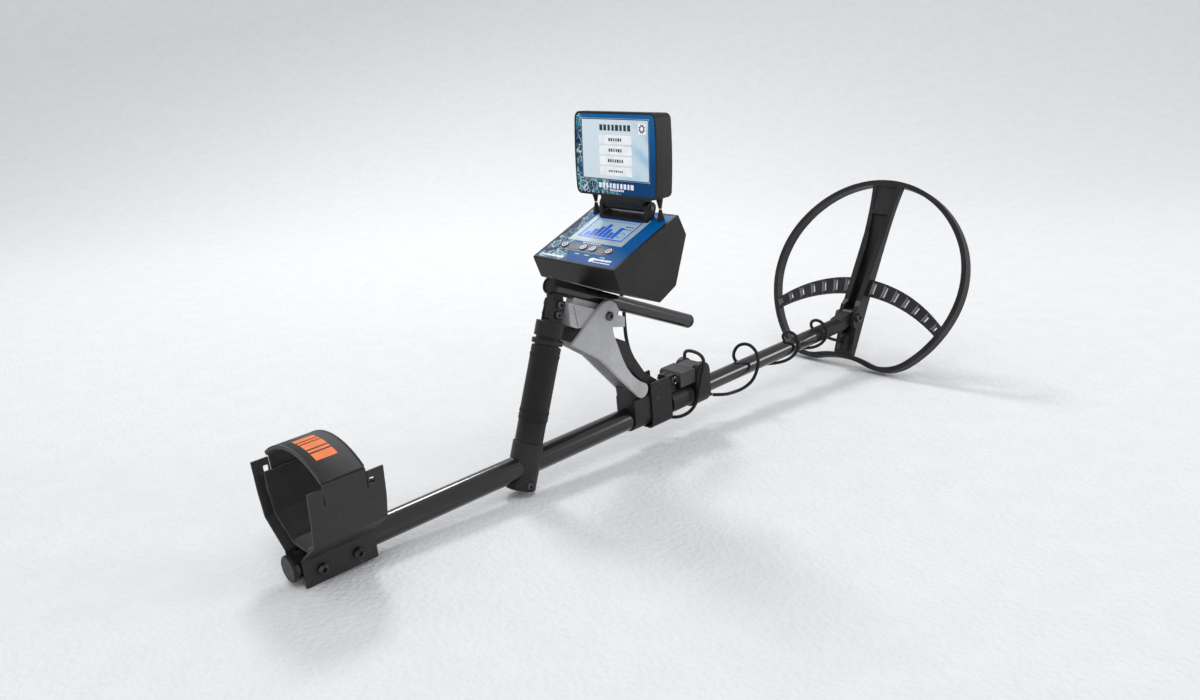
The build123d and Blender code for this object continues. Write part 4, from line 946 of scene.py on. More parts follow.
class Shape:
    """A closed mesh of several solids, each with its own finish.

    Args:
        name: The name of the piece that it becomes.
    """

    def __init__(self, name: str) -> None:
        """Starts an empty mesh."""
        self.name = name
        self.mesh = bmesh.new()
        self.materials: list[bpy.types.Material] = []

    def _index(self, finish: Finish) -> int:
        """The place of a finish among the mesh's materials.

        Args:
            finish: The finish, added if the mesh hasn't got it.

        Returns:
            Its number.
        """
        material = Finishes.of(finish)
        if material not in self.materials:
            self.materials.append(material)
        return self.materials.index(material)

    def rings(
        self,
        rings: Sequence[Sequence[Vector]],
        finish: Finish,
        smooth: bool = True,
        loop: bool = False,
    ) -> None:
        """Joins rings of points into a closed solid.

        Args:
            rings: Rings with the same number of points, in order.
            finish: The solid's finish.
            smooth: Whether its sides are smooth.
            loop: Whether the last ring joins the first, with no end faces.
        """
        index = self._index(finish)
        rows = [[self.mesh.verts.new(point) for point in ring] for ring in rings]
        pairs = list(zip(rows, rows[1:])) + ([(rows[-1], rows[0])] if loop else [])
        faces = []
        for low, high in pairs:
            for step in range(len(low)):
                after = (step + 1) % len(low)
                face = self.mesh.faces.new((low[step], low[after], high[after], high[step]))
                face.smooth = smooth
                faces.append(face)
        if not loop:
            faces += [self.mesh.faces.new(rows[0][::-1]), self.mesh.faces.new(rows[-1])]
        for face in faces:
            face.material_index = index

    def tile(
        self,
        face: Panel,
        outline: Flat,
        lift: float,
        thick: float,
        finish: Finish,
        ease: float = 0.05,
    ) -> None:
        """Adds a thin plate with a small eased edge.

        Args:
            face: The face that it lies on.
            outline: Its outline, counter-clockwise.
            lift: Its underside off the face.
            thick: Its thickness.
            finish: Its finish.
            ease: How far the top edge is drawn in.
        """
        mean_u = sum(u for u, _ in outline) / len(outline)
        mean_v = sum(v for _, v in outline) / len(outline)
        reach = max(math.hypot(u - mean_u, v - mean_v) for u, v in outline)
        shrink = 1 - ease / reach
        drawn_in = [
            (mean_u + (u - mean_u) * shrink, mean_v + (v - mean_v) * shrink) for u, v in outline
        ]
        levels = ((outline, lift), (outline, lift + thick - ease), (drawn_in, lift + thick))
        rings = [[face.at(u, v, level) for u, v in flat] for flat, level in levels]
        self.rings(rings, finish, smooth=False)

    def frame_tile(
        self, face: Panel, outer: Flat, inner: Flat, lift: float, thick: float, finish: Finish
    ) -> None:
        """Adds a thin plate with a window; both outlines have as many points.

        Args:
            face: The face that it lies on.
            outer: Its outline.
            inner: The window's outline.
            lift: Its underside off the face.
            thick: Its thickness.
            finish: Its finish.
        """
        levels = ((outer, lift), (outer, lift + thick), (inner, lift + thick), (inner, lift))
        rings = [[face.at(u, v, level) for u, v in flat] for flat, level in levels]
        self.rings(rings, finish, smooth=False, loop=True)

    def tube(
        self,
        path: Sequence[Vector],
        radius: Callable[[float], float],
        finish: Finish,
        sides: int = 16,
    ) -> None:
        """Adds a round tube along a path.

        Args:
            path: Its middle line, in metres.
            radius: Its radius in millimetres at a share of its length.
            finish: Its finish.
            sides: Points round it.
        """
        ways = [(b - a).normalized() for a, b in zip(path, path[1:])]
        between = [(a + b).normalized() for a, b in zip(ways, ways[1:])]
        tangents = [ways[0], *between, ways[-1]]
        side = tangents[0].orthogonal().normalized()
        rings = []
        for step, (point, tangent) in enumerate(zip(path, tangents)):
            side = (side - tangent * side.dot(tangent)).normalized()
            other = tangent.cross(side)
            reach = radius(step / (len(path) - 1)) * MM
            turns = (2 * math.pi * turn / sides for turn in range(sides))
            rings.append(
                [point + (side * math.cos(t) + other * math.sin(t)) * reach for t in turns]
            )
        self.rings(rings, finish)

    def add(self, mesh: bpy.types.Mesh) -> None:
        """Adds a finished mesh with its own materials.

        Args:
            mesh: The mesh, in the row's frame.
        """
        base = len(self.mesh.faces)
        self.mesh.from_mesh(mesh)
        self.mesh.faces.ensure_lookup_table()
        places = []
        for material in mesh.materials:
            if material not in self.materials:
                self.materials.append(material)
            places.append(self.materials.index(material))
        for face in self.mesh.faces[base:]:
            face.material_index = places[face.material_index] if places else 0

    def piece(self, body: Body | None, slot: str, replaced: Iterable[str] = ()) -> bpy.types.Object:
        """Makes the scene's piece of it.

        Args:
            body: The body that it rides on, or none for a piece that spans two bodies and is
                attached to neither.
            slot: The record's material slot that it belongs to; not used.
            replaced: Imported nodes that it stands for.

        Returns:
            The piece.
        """
        bmesh.ops.recalc_face_normals(self.mesh, faces=self.mesh.faces)
        data = bpy.data.meshes.new(self.name)
        self.mesh.to_mesh(data)
        self.mesh.free()
        for material in self.materials:
            data.materials.append(material)
        piece = placed(self.name, data)
        if body:
            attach(piece, body.value)
        for node in replaced:
            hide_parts(node)
        rider = body.value if body else "two bodies"
        LOG.info("%s: %d faces on %s", self.name, len(data.polygons), rider)
        return piece


class Repeater(Graph):
    """A Geometry Nodes tree that repeats one small solid along a row or round a ring.

    Args:
        round_ring: Whether the copies stand round a ring in place of a row.
    """

    INPUTS = (
        ("Count", "NodeSocketInt"),
        ("Pitch", "NodeSocketFloat"),
        ("Size", "NodeSocketVector"),
        ("Jitter", "NodeSocketFloat"),
        ("Seed", "NodeSocketInt"),
        ("Material", "NodeSocketMaterial"),
    )
    SEED = 7

    def __init__(self, round_ring: bool) -> None:
        """Builds the tree."""
        name = "ring_of" if round_ring else "row_of"
        super().__init__(bpy.data.node_groups.new(name, "GeometryNodeTree"))
        self.sockets: dict[str, str] = {}
        for name, kind in self.INPUTS:
            socket = self.tree.interface.new_socket(name, in_out="INPUT", socket_type=kind)
            self.sockets[name] = socket.identifier
        self.tree.interface.new_socket(
            "Geometry", in_out="OUTPUT", socket_type="NodeSocketGeometry"
        )
        given = self.node("NodeGroupInput", {}, {}).outputs
        count, pitch = given["Count"], given["Pitch"]
        line = self.ring_points(count, pitch) if round_ring else self.row_points(count, pitch)
        solid = self.node("GeometryNodeMeshCube", {}, {"Size": given["Size"]})
        where = self.node("GeometryNodeInputPosition", {}, {})
        settings = {"axis": "X"} if round_ring else {"axis": "Z"}
        aim = where.outputs[0] if round_ring else (0.0, 0.0, 1.0)
        turn = self.node("FunctionNodeAlignRotationToVector", settings, {"Vector": aim})
        least = self.number("SUBTRACT", 1.0, given["Jitter"])
        inputs = {2: least, 3: 1.0, "Seed": given["Seed"]}
        scale = self.node("FunctionNodeRandomValue", {"data_type": "FLOAT"}, inputs)
        stretch = self.node("ShaderNodeCombineXYZ", {}, {"X": scale.outputs[1], "Y": 1.0, "Z": 1.0})
        inputs = {
            "Points": line.outputs[0],
            "Instance": solid.outputs[0],
            "Rotation": turn.outputs[0],
            "Scale": stretch.outputs[0],
        }
        copies = self.node("GeometryNodeInstanceOnPoints", {}, inputs)
        real = self.node("GeometryNodeRealizeInstances", {}, {"Geometry": copies.outputs[0]})
        inputs = {"Geometry": real.outputs[0], "Material": given["Material"]}
        dressed = self.node("GeometryNodeSetMaterial", {}, inputs)
        self.node("NodeGroupOutput", {}, {"Geometry": dressed.outputs[0]})

    def ring_points(
        self, count: bpy.types.NodeSocket, radius: bpy.types.NodeSocket
    ) -> bpy.types.Node:
        """Adds the points of a ring."""
        return self.node("GeometryNodeMeshCircle", {}, {"Vertices": count, "Radius": radius})

    def row_points(
        self, count: bpy.types.NodeSocket, pitch: bpy.types.NodeSocket
    ) -> bpy.types.Node:
        """Adds the points of a row with its middle at the origin.

        Args:
            count: How many points.
            pitch: The distance between them.

        Returns:
            The node that makes them.
        """
        step = self.node("ShaderNodeCombineXYZ", {}, {"X": pitch}).outputs[0]
        half = self.number("MULTIPLY", self.number("SUBTRACT", count, 1.0), -0.5)
        inputs = {0: step, "Scale": half}
        start = self.node("ShaderNodeVectorMath", {"operation": "SCALE"}, inputs).outputs[0]
        places = {"Count": count, "Offset": step, "Start Location": start}
        return self.node("GeometryNodeMeshLine", {"mode": "OFFSET"}, places)

    def number(self, operation: str, *operands: object) -> bpy.types.NodeSocket:
        """The result of one Math node on numbers or sockets."""
        inputs = dict(enumerate(operands))
        return self.node("ShaderNodeMath", {"operation": operation}, inputs).outputs[0]

    def mesh(
        self,
        face: Panel,
        count: int,
        pitch: float,
        size: Place,
        finish: Finish,
        jitter: float = 0,
    ) -> bpy.types.Mesh:
        """Runs the tree and sets its mesh on a face.

        Args:
            face: The face that the copies lie on, with the row along its right.
            count: How many copies.
            pitch: Millimetres between copies, or the ring's radius.
            size: Each copy's length, width and height, in millimetres.
            finish: Their finish.
            jitter: How much shorter the shortest copy is, as a share.

        Returns:
            The mesh, in the row's frame.
        """
        holder = placed("holder", bpy.data.meshes.new("holder"))
        modifier = holder.modifiers.new("repeat", "NODES")
        modifier.node_group = self.tree
        values = {
            "Count": count,
            "Pitch": pitch * MM,
            "Size": [length * MM for length in size],
            "Jitter": float(jitter),
            "Seed": self.SEED,
            "Material": Finishes.of(finish),
        }
        for name, value in values.items():
            modifier[self.sockets[name]] = value
        holder.update_tag()
        bpy.context.view_layer.update()
        mesh = finished_mesh(holder)
        bpy.data.objects.remove(holder, do_unlink=True)
        mesh.transform(face.matrix())
        return mesh


def coat(data: bpy.types.Mesh, finish: Finish) -> None:
    """Gives a mesh one finish in place of what it has."""
    data.materials.clear()
    data.materials.append(Finishes.of(finish))


def dress(finish: Finish, *nodes: str) -> None:
    """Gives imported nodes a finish.

    Args:
        finish: The finish.
        nodes: The nodes' names.
    """
    for node in nodes:
        coat(frame["nodes"][node].data, finish)
    LOG.info("%s on %s", finish.name, ", ".join(nodes))


# ------------------------------------------------------------------ sub-assemblies


@dataclass
class Cuff:
    """The arm cuff: two bent sheets, a ribbed strap over the arm and a padded liner.

    Args:
        start: Where the strap's near edge lies along the shaft, in millimetres.
        end: Where its far edge lies.
        foot: Half the strap's width at its feet.
        foot_height: The feet's height over the shaft's axis.
        crown: The height of its inner crown.
        thickness: The strap's thickness.
        ribs: How many ribs cross the strap.
        bead: Width of the strap's raised edges.
        arm_height: The height of the arm's axis over the shaft's.
        arm_radius: How far from the arm's axis the liner still faces the arm.
        bend: The height where the liner's round floor turns into its straight sides.
        groove: A pressed groove's place along the shaft.
        groove_pitch: Distance between grooves.
        groove_depth: A groove's depth, in metres.
        swell: How far the liner may puff, in metres.
        voxel: The size of the liner's faces, in metres.
        moments: How many steps the puffing takes.
    """

    start: float = 21.3
    end: float = 62.3
    foot: float = 50.0
    foot_height: float = 86.5
    crown: float = 103.5
    thickness: float = 3.2
    ribs: int = 46
    bead: float = 2.0
    arm_height: float = 66.0
    arm_radius: float = 43.0
    bend: float = 70.0
    groove: float = 43.3
    groove_pitch: float = 11.2
    groove_depth: float = 0.0006
    swell: float = 0.0011
    voxel: float = 0.0016
    moments: int = 20

    def arch(self, share: float, lift: float) -> tuple[float, float]:
        """Left and up of a point along the arch.

        Args:
            share: 0 at the left foot and 1 at the right one.
            lift: Distance outwards from the strap's inner face, in millimetres.

        Returns:
            The two distances.
        """
        rise = self.crown - self.foot_height
        radius = (self.foot**2 + rise**2) / (2 * rise)
        half = math.asin(self.foot / radius)
        turn = half * (1 - 2 * share)
        reach = radius + lift
        return reach * math.sin(turn), self.crown - radius + reach * math.cos(turn)

    def bent_tile(
        self,
        shape: Shape,
        along: tuple[float, float],
        across: tuple[float, float],
        lift: float,
        finish: Finish,
    ) -> None:
        """Adds a thin plate bent over the strap.

        Args:
            shape: The mesh that it goes to.
            along: Its start and end along the shaft.
            across: Its start and end along the arch, as shares.
            lift: Its top over the strap's inner face.
            finish: Its finish.
        """
        under = self.thickness - 0.3
        corners = ((along[0], under), (along[1], under), (along[1], lift), (along[0], lift))
        steps = max(2, round((across[1] - across[0]) * 48))
        rings = []
        for step in range(steps + 1):
            share = across[0] + (across[1] - across[0]) * step / steps
            rings.append([STANCE.at(x, *self.arch(share, level)) for x, level in corners])
        shape.rings(rings, finish, smooth=False)

    def build_strap(self) -> None:
        """Makes the strap: edge beads, ribs between them and bars of marking on the near side."""
        shape = Shape("strap")
        top = self.thickness
        for edge in (self.start, self.end - self.bead):
            span = (edge, edge + self.bead)
            self.bent_tile(shape, span, (0.012, 0.988), top + 0.25, Finishes.FOAM)
        near, far = self.start + 0.3, self.end - 0.3
        rings = []
        for step in range(self.ribs * 2 + 1):
            share = 0.004 + 0.992 * step / (self.ribs * 2)
            outer = self.arch(share, top + (0.16 if step % 2 else -0.06))
            inner = self.arch(share, 0.0)
            corners = ((near, inner), (far, inner), (far, outer), (near, outer))
            rings.append([STANCE.at(x, y, z) for x, (y, z) in corners])
        shape.rings(rings, Finishes.STRAP, smooth=True)
        marked = (self.start + 9, self.start + 29)
        for bar in ((0.40, 0.47), (0.49, 0.52), (0.54, 0.63), (0.65, 0.68), (0.70, 0.79)):
            self.bent_tile(shape, marked, bar, top + 0.3, Finishes.MARK)
        shape.piece(Body.FRAME, "strap_rubber", ["cuff_strap"])

    def remeshed(self, node: str) -> bpy.types.Object:
        """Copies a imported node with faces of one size, so that it can puff evenly.

        Args:
            node: The node's name.

        Returns:
            The copy.
        """
        data = frame["nodes"][node].data.copy()
        welded = bmesh.new()
        welded.from_mesh(data)
        bmesh.ops.remove_doubles(welded, verts=welded.verts, dist=0.00005)
        welded.to_mesh(data)
        welded.free()
        liner = placed("cuff_liner", data)
        remesh = liner.modifiers.new("remesh", "REMESH")
        remesh.mode, remesh.voxel_size, remesh.use_smooth_shade = "VOXEL", self.voxel, True
        rest = finished_mesh(liner)
        liner.modifiers.clear()
        liner.data = rest
        return liner

    def build_liner(self) -> None:
        """Makes the padded liner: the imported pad, puffed and kept clear of the sheets."""
        liner = self.remeshed("cuff_pad")
        before = [vertex.co.copy() for vertex in liner.data.vertices]
        self.puff(liner)
        for vertex, start in zip(liner.data.vertices, before):
            inward = self.inward(start)
            reach = min(max((vertex.co - start).dot(inward), 0.0), self.swell)
            vertex.co = start + inward * reach + self.quilt(start, inward)
        for polygon in liner.data.polygons:
            polygon.use_smooth = True
        coat(liner.data, Finishes.FOAM)
        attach(liner, Body.FRAME.value)
        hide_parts("cuff_pad")
        LOG.info("cuff_liner: %d faces", len(liner.data.polygons))

    def inward(self, point: Vector) -> Vector:
        """The direction from a point of the liner to the arm.

        Args:
            point: The point, in metres.

        Returns:
            The direction, level where the liner's sides rise past the bend.
        """
        height = (point - STANCE.tail).dot(STANCE.up) / MM
        return (-LEFT * (point.y / MM) + STANCE.up * max(0.0, self.bend - height)).normalized()

    def quilt(self, point: Vector, inward: Vector) -> Vector:
        """The dip of the pressed grooves across the liner, always towards the sheet's side.

        Args:
            point: A point of the liner, in metres.
            inward: The direction to the arm.

        Returns:
            The shift.
        """
        x = (point - STANCE.tail).dot(STANCE.ahead) / MM
        wave = math.cos(2 * math.pi * (x - self.groove) / self.groove_pitch)
        from_axis = (point - STANCE.at(x, 0, self.arm_height)).length / MM
        depth = self.groove_depth * max(0.0, wave) ** 10
        return inward * (-depth if from_axis < self.arm_radius else 0.0)

    def puff(self, liner: bpy.types.Object) -> None:
        """Inflates the liner a little as cloth.

        Args:
            liner: The remeshed liner.
        """
        scene = bpy.context.scene
        cloth = liner.modifiers.new("cloth", "CLOTH")
        settings = cloth.settings
        settings.use_pressure = True
        settings.uniform_pressure_force = 4.0
        settings.tension_stiffness = settings.compression_stiffness = 40.0
        settings.effector_weights.gravity = 0.0
        cloth.point_cache.frame_start, cloth.point_cache.frame_end = 1, self.moments
        for moment in range(1, self.moments + 1):
            scene.frame_set(moment)
        data = finished_mesh(liner)
        liner.modifiers.clear()
        liner.data = data
        scene.frame_set(1)

    def build(self) -> None:
        """Dresses the sheets and bolts and makes the strap and liner."""
        dress(Finishes.SHEET, "cuff_wing_left", "cuff_wing_right")
        dress(Finishes.BOLT, "cuff_bolts")
        dress(Finishes.BLACK, "end_cap")
        self.build_strap()
        self.build_liner()


@dataclass
class Handle:
    """The raked grip, the bar it carries and the braces down to the shaft.

    Args:
        foot: Where the grip's axis meets the shaft's, in millimetres along it.
        lean: How far the grip leans forward, in degrees.
        rubber_radius: The rubber's radius, in millimetres.
        beads: How far up the grip each raised bead lies.
        knurls: How far up the grip each ring of short ribs lies.
        knurl_count: How many ribs a ring has.
        knurl: A rib's depth, width and height.
    """

    foot: float = 263.3
    lean: float = 21.5
    rubber_radius: float = 15.0
    beads: tuple[float, ...] = (48.2, 51.0, 118.0, 120.8)
    knurls: tuple[float, ...] = (55.5, 113.5)
    knurl_count: int = 28
    knurl: tuple[float, float, float] = (0.7, 1.1, 3.2)

    def plane(self, height: float) -> Panel:
        """A face square to the grip.

        Args:
            height: How far up the grip it lies, in millimetres.

        Returns:
            The face.
        """
        turn = math.radians(self.lean)
        origin = STANCE.at(self.foot + height * math.sin(turn), 0, height * math.cos(turn))
        return Panel(origin, STANCE.way(math.cos(turn), 0, -math.sin(turn)), LEFT)

    def build(self, ring: Repeater) -> None:
        """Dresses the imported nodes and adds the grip's raised bands.

        Args:
            ring: The tree that repeats solids round a ring.
        """
        dress(Finishes.RUBBER, "grip_rubber")
        dress(Finishes.DRAWN, "grip_tube")
        dress(Finishes.BLACK, "grip_rings", "bar_end_cap", "bar_nose_cap", "bar_lug", "shaft_bush")
        dress(Finishes.CLAMP, "grip_socket", "lock_sleeve", "front_clamp")
        dress(Finishes.CLAMP, "brace_saddle", "brace_core", "grip_fork")
        dress(Finishes.GREY, "brace_block", "brace_cheek_left", "brace_cheek_right")
        dress(Finishes.LEVER, "lock_lever")
        dress(Finishes.BAND, "rear_clamp")
        dress(Finishes.FOAM, "brace_stop")
        dress(Finishes.LENS, "bar_light")
        dress(Finishes.BAR, "bar_tube")
        dress(Finishes.TUBE, "upper_shaft", "lower_shaft")
        dress(Finishes.BOLT, "frame_bolts", "lever_pin", "hinge_rod", "coil_bolt")
        shape = Shape("grip_bands")
        for height in self.beads:
            shape.rings(self.band(height), Finishes.RUBBER, loop=True)
        for height in self.knurls:
            plane, count = self.plane(height), self.knurl_count
            shape.add(ring.mesh(plane, count, self.rubber_radius, self.knurl, Finishes.RUBBER))
        shape.piece(Body.FRAME, "grip_rubber")

    def band(self, height: float) -> list[list[Vector]]:
        """Rings of a half-round bead about the rubber.

        Args:
            height: How far up the grip the bead is.

        Returns:
            The rings.
        """
        plane = self.plane(height)
        profile = ((-0.3, -0.8), (0.28, -0.55), (0.42, 0.0), (0.28, 0.55), (-0.3, 0.8))
        sides = 56
        rings = []
        for step in range(sides):
            turn = 2 * math.pi * step / sides
            ring = []
            for out, up in profile:
                reach = self.rubber_radius + out
                ring.append(plane.at(reach * math.cos(turn), reach * math.sin(turn), up))
            rings.append(ring)
        return rings


# How deep a print's tiles start below their sheet, and how thick they are, in millimetres.
SUNK = 0.05
PRINTED = 0.17


@dataclass
class Head:
    """The console and the monitor: cases, printed sheets, displays and buttons.

    Args:
        display: The console display's middle on its panel, in millimetres.
        buttons: The buttons' places to the right on the panel.
        button_row: The buttons' place up the panel.
        screen: The monitor screen's middle on its face.
        screen_size: The screen's width and height.
    """

    display: tuple[float, float] = (-3.0, 62.0)
    buttons: tuple[float, ...] = (-36.5, -8.0, 6.6, 30.4)
    button_row: float = 26.8
    screen: tuple[float, float] = (0.0, 5.0)
    screen_size: tuple[float, float] = (101.0, 63.0)

    def build(self, row: Repeater, ring: Repeater) -> None:
        """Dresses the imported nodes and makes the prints, screen pictures and fasteners.

        Args:
            row: The tree that repeats solids along a row.
            ring: The tree that repeats solids round a ring.
        """
        dress(Finishes.CASE, "console_shell", "monitor_shell", "monitor_bezel")
        dress(Finishes.CASE, "hinge_bracket", "hinge_leaf")
        dress(Finishes.PANEL, "console_panel")
        dress(Finishes.FASCIA, "monitor_fascia")
        dress(Finishes.LCD, "console_display")
        dress(Finishes.SCREEN, "monitor_screen")
        dress(Finishes.BUTTON, "button_1", "button_2", "button_3", "button_4")
        dress(Finishes.BOARD, "console_board")
        dress(Finishes.WRAP, "battery_pack")
        dress(Finishes.CABLE, "wire_boots_lower", "wire_boots_upper")
        self.console_print(row, ring)
        self.button_tops()
        self.monitor_print(row)
        self.screws()

    def console_print(self, row: Repeater, ring: Repeater) -> None:
        """Makes the console panel's strip, labels and display picture.

        Args:
            row: The tree that repeats solids along a row.
            ring: The tree that repeats solids round a ring.
        """
        face = CONSOLE_PANEL
        shape = Shape("console_print")
        top = lift_of("console_panel", face)
        base = top - SUNK
        for low, high in ((-32.0, -13.6), (-2.6, 1.2), (12.2, 24.8)):
            bar = rounded((low + high) / 2, self.button_row, high - low, 8.6, 1.6)
            shape.tile(face, bar, base, PRINTED, Finishes.SLATE)
        for side in (6.1, -6.1):
            rail = rounded(self.display[0], self.button_row + side, 60.0, 2.2, 0.9)
            shape.tile(face, rail, base, PRINTED, Finishes.SLATE)
        for u in self.buttons:
            outer, inner = disc(u, self.button_row, 5.9, 48), disc(u, self.button_row, 4.75, 48)
            shape.frame_tile(face, outer, inner, base, 0.35, Finishes.SLATE)
            label = rounded(u, self.button_row - 10.6, 7.0, 1.3, 0.5)
            shape.tile(face, label, base, PRINTED, Finishes.PALE)
        for u, v, count, pitch, size, jitter in (
            (-38.0, 7.6, 13, 2.7, (2.1, 2.9, 0.2), 0.35),
            (34.0, 12.2, 9, 3.0, (2.3, 3.0, 0.2), 0.35),
            (36.0, 8.0, 14, 1.8, (1.4, 1.3, 0.2), 0.4),
            (-4.0, 35.6, 16, 1.7, (1.3, 1.2, 0.2), 0.4),
        ):
            spot = face.shifted(u, v, top)
            shape.add(row.mesh(spot, count, pitch, size, Finishes.WHITE, jitter))
        shape.tile(face, cog(19.5, 10.6, 3.6), base, PRINTED, Finishes.WHITE, 0.02)
        self.lcd(shape, row, ring)
        shape.piece(Body.FRAME, "printed_panel")

    def lcd(self, shape: Shape, row: Repeater, ring: Repeater) -> None:
        """Adds the console display's picture.

        Args:
            shape: The mesh that it goes to.
            row: The tree that repeats solids along a row.
            ring: The tree that repeats solids round a ring.
        """
        face = CONSOLE_PANEL
        base = lift_of("console_display", face) - SUNK
        u, v = self.display
        outer, inner = rounded(u, v, 80.4, 47.4, 2.0), rounded(u, v + 1.4, 66.0, 35.4, 0.8)
        shape.frame_tile(face, outer, inner, base, 0.2, Finishes.PALE)
        outer, inner = (
            rounded(u, v + 1.4, 67.0, 36.4, 1.0),
            rounded(u, v + 1.4, 63.4, 32.8, 0.6),
        )
        shape.frame_tile(face, outer, inner, base, 0.26, Finishes.BRIGHT)
        scale = face.shifted(u, v + 15.0, base)
        shape.add(row.mesh(scale, 24, 2.4, (0.55, 1.7, 0.3), Finishes.INK))
        for index, height in enumerate((7.0, 12.5, 18.0, 23.0, 15.0, 10.0, 19.5)):
            left = u - 27.0 + index * 6.6
            bar = rounded(left + 2.6, v - 13.4 + height / 2, 5.2, height, 0.4)
            shape.tile(face, bar, base, 0.24, Finishes.BRIGHT)
        for rise, height, finish in ((8.6, 2.2, Finishes.BRIGHT), (4.2, 1.2, Finishes.INK)):
            spot = face.shifted(u + 23.4, v + rise, base)
            shape.add(row.mesh(spot, 3, 4.3, (3.3, height, 0.3), finish, 0.3))
        dial = face.shifted(u + 23.4, v - 6.4, base)
        shape.add(ring.mesh(dial, 12, 4.2, (1.7, 0.8, 0.3), Finishes.BRIGHT))
        foot = face.shifted(u, v - 20.2, base)
        shape.add(row.mesh(foot, 9, 8.0, (5.4, 1.2, 0.35), Finishes.BLUE, 0.3))

    def button_tops(self) -> None:
        """Makes each button's ring and sign, riding on the button."""
        face, v = CONSOLE_PANEL, self.button_row
        for index, u in enumerate(self.buttons, 1):
            node = f"button_{index}"
            base = lift_of(node, face) - SUNK
            shape = Shape(f"{node}_sign")
            outer, inner = disc(u, v, 3.6, 40), disc(u, v, 2.9, 40)
            shape.frame_tile(face, outer, inner, base, 0.15, Finishes.WHITE)
            flat = rounded(u, v, 2.8, 0.8, 0.3) if index % 2 else disc(u, v, 0.8, 20)
            shape.tile(face, flat, base, 0.15, Finishes.WHITE)
            shape.piece(Body(node), "button_white")

    def monitor_print(self, row: Repeater) -> None:
        """Makes the monitor's picture and the bars printed below it.

        Args:
            row: The tree that repeats solids along a row.
        """
        face = MONITOR_FACE
        shape = Shape("monitor_print")
        u, v = self.screen
        width, height = self.screen_size
        base = lift_of("monitor_screen", face) - SUNK
        high = v + height / 2
        outer = rounded(u, v, width - 0.6, height - 0.6, 2.0)
        inner = rounded(u, v, width - 2.6, height - 2.6, 1.2)
        shape.frame_tile(face, outer, inner, base, 0.2, Finishes.SLATE)
        title = face.shifted(u + 1.0, high - 9.4, base + 0.1)
        shape.add(row.mesh(title, 8, 5.9, (4.7, 6.0, 0.2), Finishes.INK, 0.3))
        gear_u, gear_v = u + 40.5, high - 9.6
        key = rounded(gear_u, gear_v, 11.0, 11.0, 0.8)
        shape.tile(face, key, base, 0.14, Finishes.WHITE)
        shape.tile(face, cog(gear_u, gear_v, 4.6), base + 0.06, 0.14, Finishes.INK, 0.02)
        shape.tile(face, disc(gear_u, gear_v, 2.3, 28), base + 0.12, 0.14, Finishes.WHITE)
        for line, words in enumerate((6, 6, 7, 8)):
            level = high - 21.4 - line * 10.7
            shape.tile(face, rounded(u + 1.0, level, 48.0, 9.0, 0.5), base, 0.16, Finishes.WHITE)
            spot = face.shifted(u + 1.0, level, base + 0.16)
            size = (2.6, 3.2, 0.16) if line < 3 else (1.9, 2.2, 0.16)
            shape.add(row.mesh(spot, words, size[0] + 0.8, size, Finishes.INK, 0.35))
        below = lift_of("monitor_fascia", face) - SUNK
        low = -self.monitor_half() + 6.8
        for right, rise, count, pitch, size, jitter in (
            (1.0, 1.9, 10, 5.3, (4.4, 5.2, 0.25), 0.4),
            (2.0, -2.6, 8, 2.7, (2.1, 1.9, 0.25), 0.3),
        ):
            spot = face.shifted(u + right, low + rise, below)
            shape.add(row.mesh(spot, count, pitch, size, Finishes.WHITE, jitter))
        shape.piece(Body.MONITOR, "display_glass")

    def monitor_half(self) -> float:
        """Half the height of the monitor's printed sheet, in millimetres."""
        data = frame["nodes"]["monitor_fascia"].data
        reach = [(vertex.co - MONITOR_FACE.origin).dot(MONITOR_FACE.up) for vertex in data.vertices]
        return (max(reach) - min(reach)) / 2 / MM

    def screws(self) -> None:
        """Makes the countersunk screws on the monitor's back."""
        depth = lift_of("monitor_shell", MONITOR_FACE, lowest=True)
        back = Panel(MONITOR_FACE.at(0, 0, depth), LEFT, MONITOR_FACE.up)
        shape = Shape("monitor_screws")
        for u, v in ((-47.0, -31.0), (47.0, -31.0), (-47.0, 31.0), (47.0, 31.0)):
            self.screw(shape, back, u, v)
        shape.piece(Body.MONITOR, "bolt_steel")

    def screw(self, shape: Shape, face: Panel, u: float, v: float) -> None:
        """Adds one screw head with a dark ink cross on it, painted shade that stands for a cross
        recess.

        Args:
            shape: The mesh that it goes to.
            face: The face that it's let into.
            u: Its place to the right.
            v: Its place upwards.
        """
        levels = ((2.6, -0.3), (2.6, 0.12), (2.2, 0.3), (0.9, 0.42))
        rings = [
            [face.at(a, b, lift) for a, b in disc(u, v, radius, 24)] for radius, lift in levels
        ]
        shape.rings(rings, Finishes.BOLT)
        # The recess is not cut: a dark cross is laid on the head as painted shade.
        for width, height in ((2.4, 0.5), (0.5, 2.4)):
            shape.tile(face, rounded(u, v, width, height), 0.35, 0.12, Finishes.INK, 0.02)


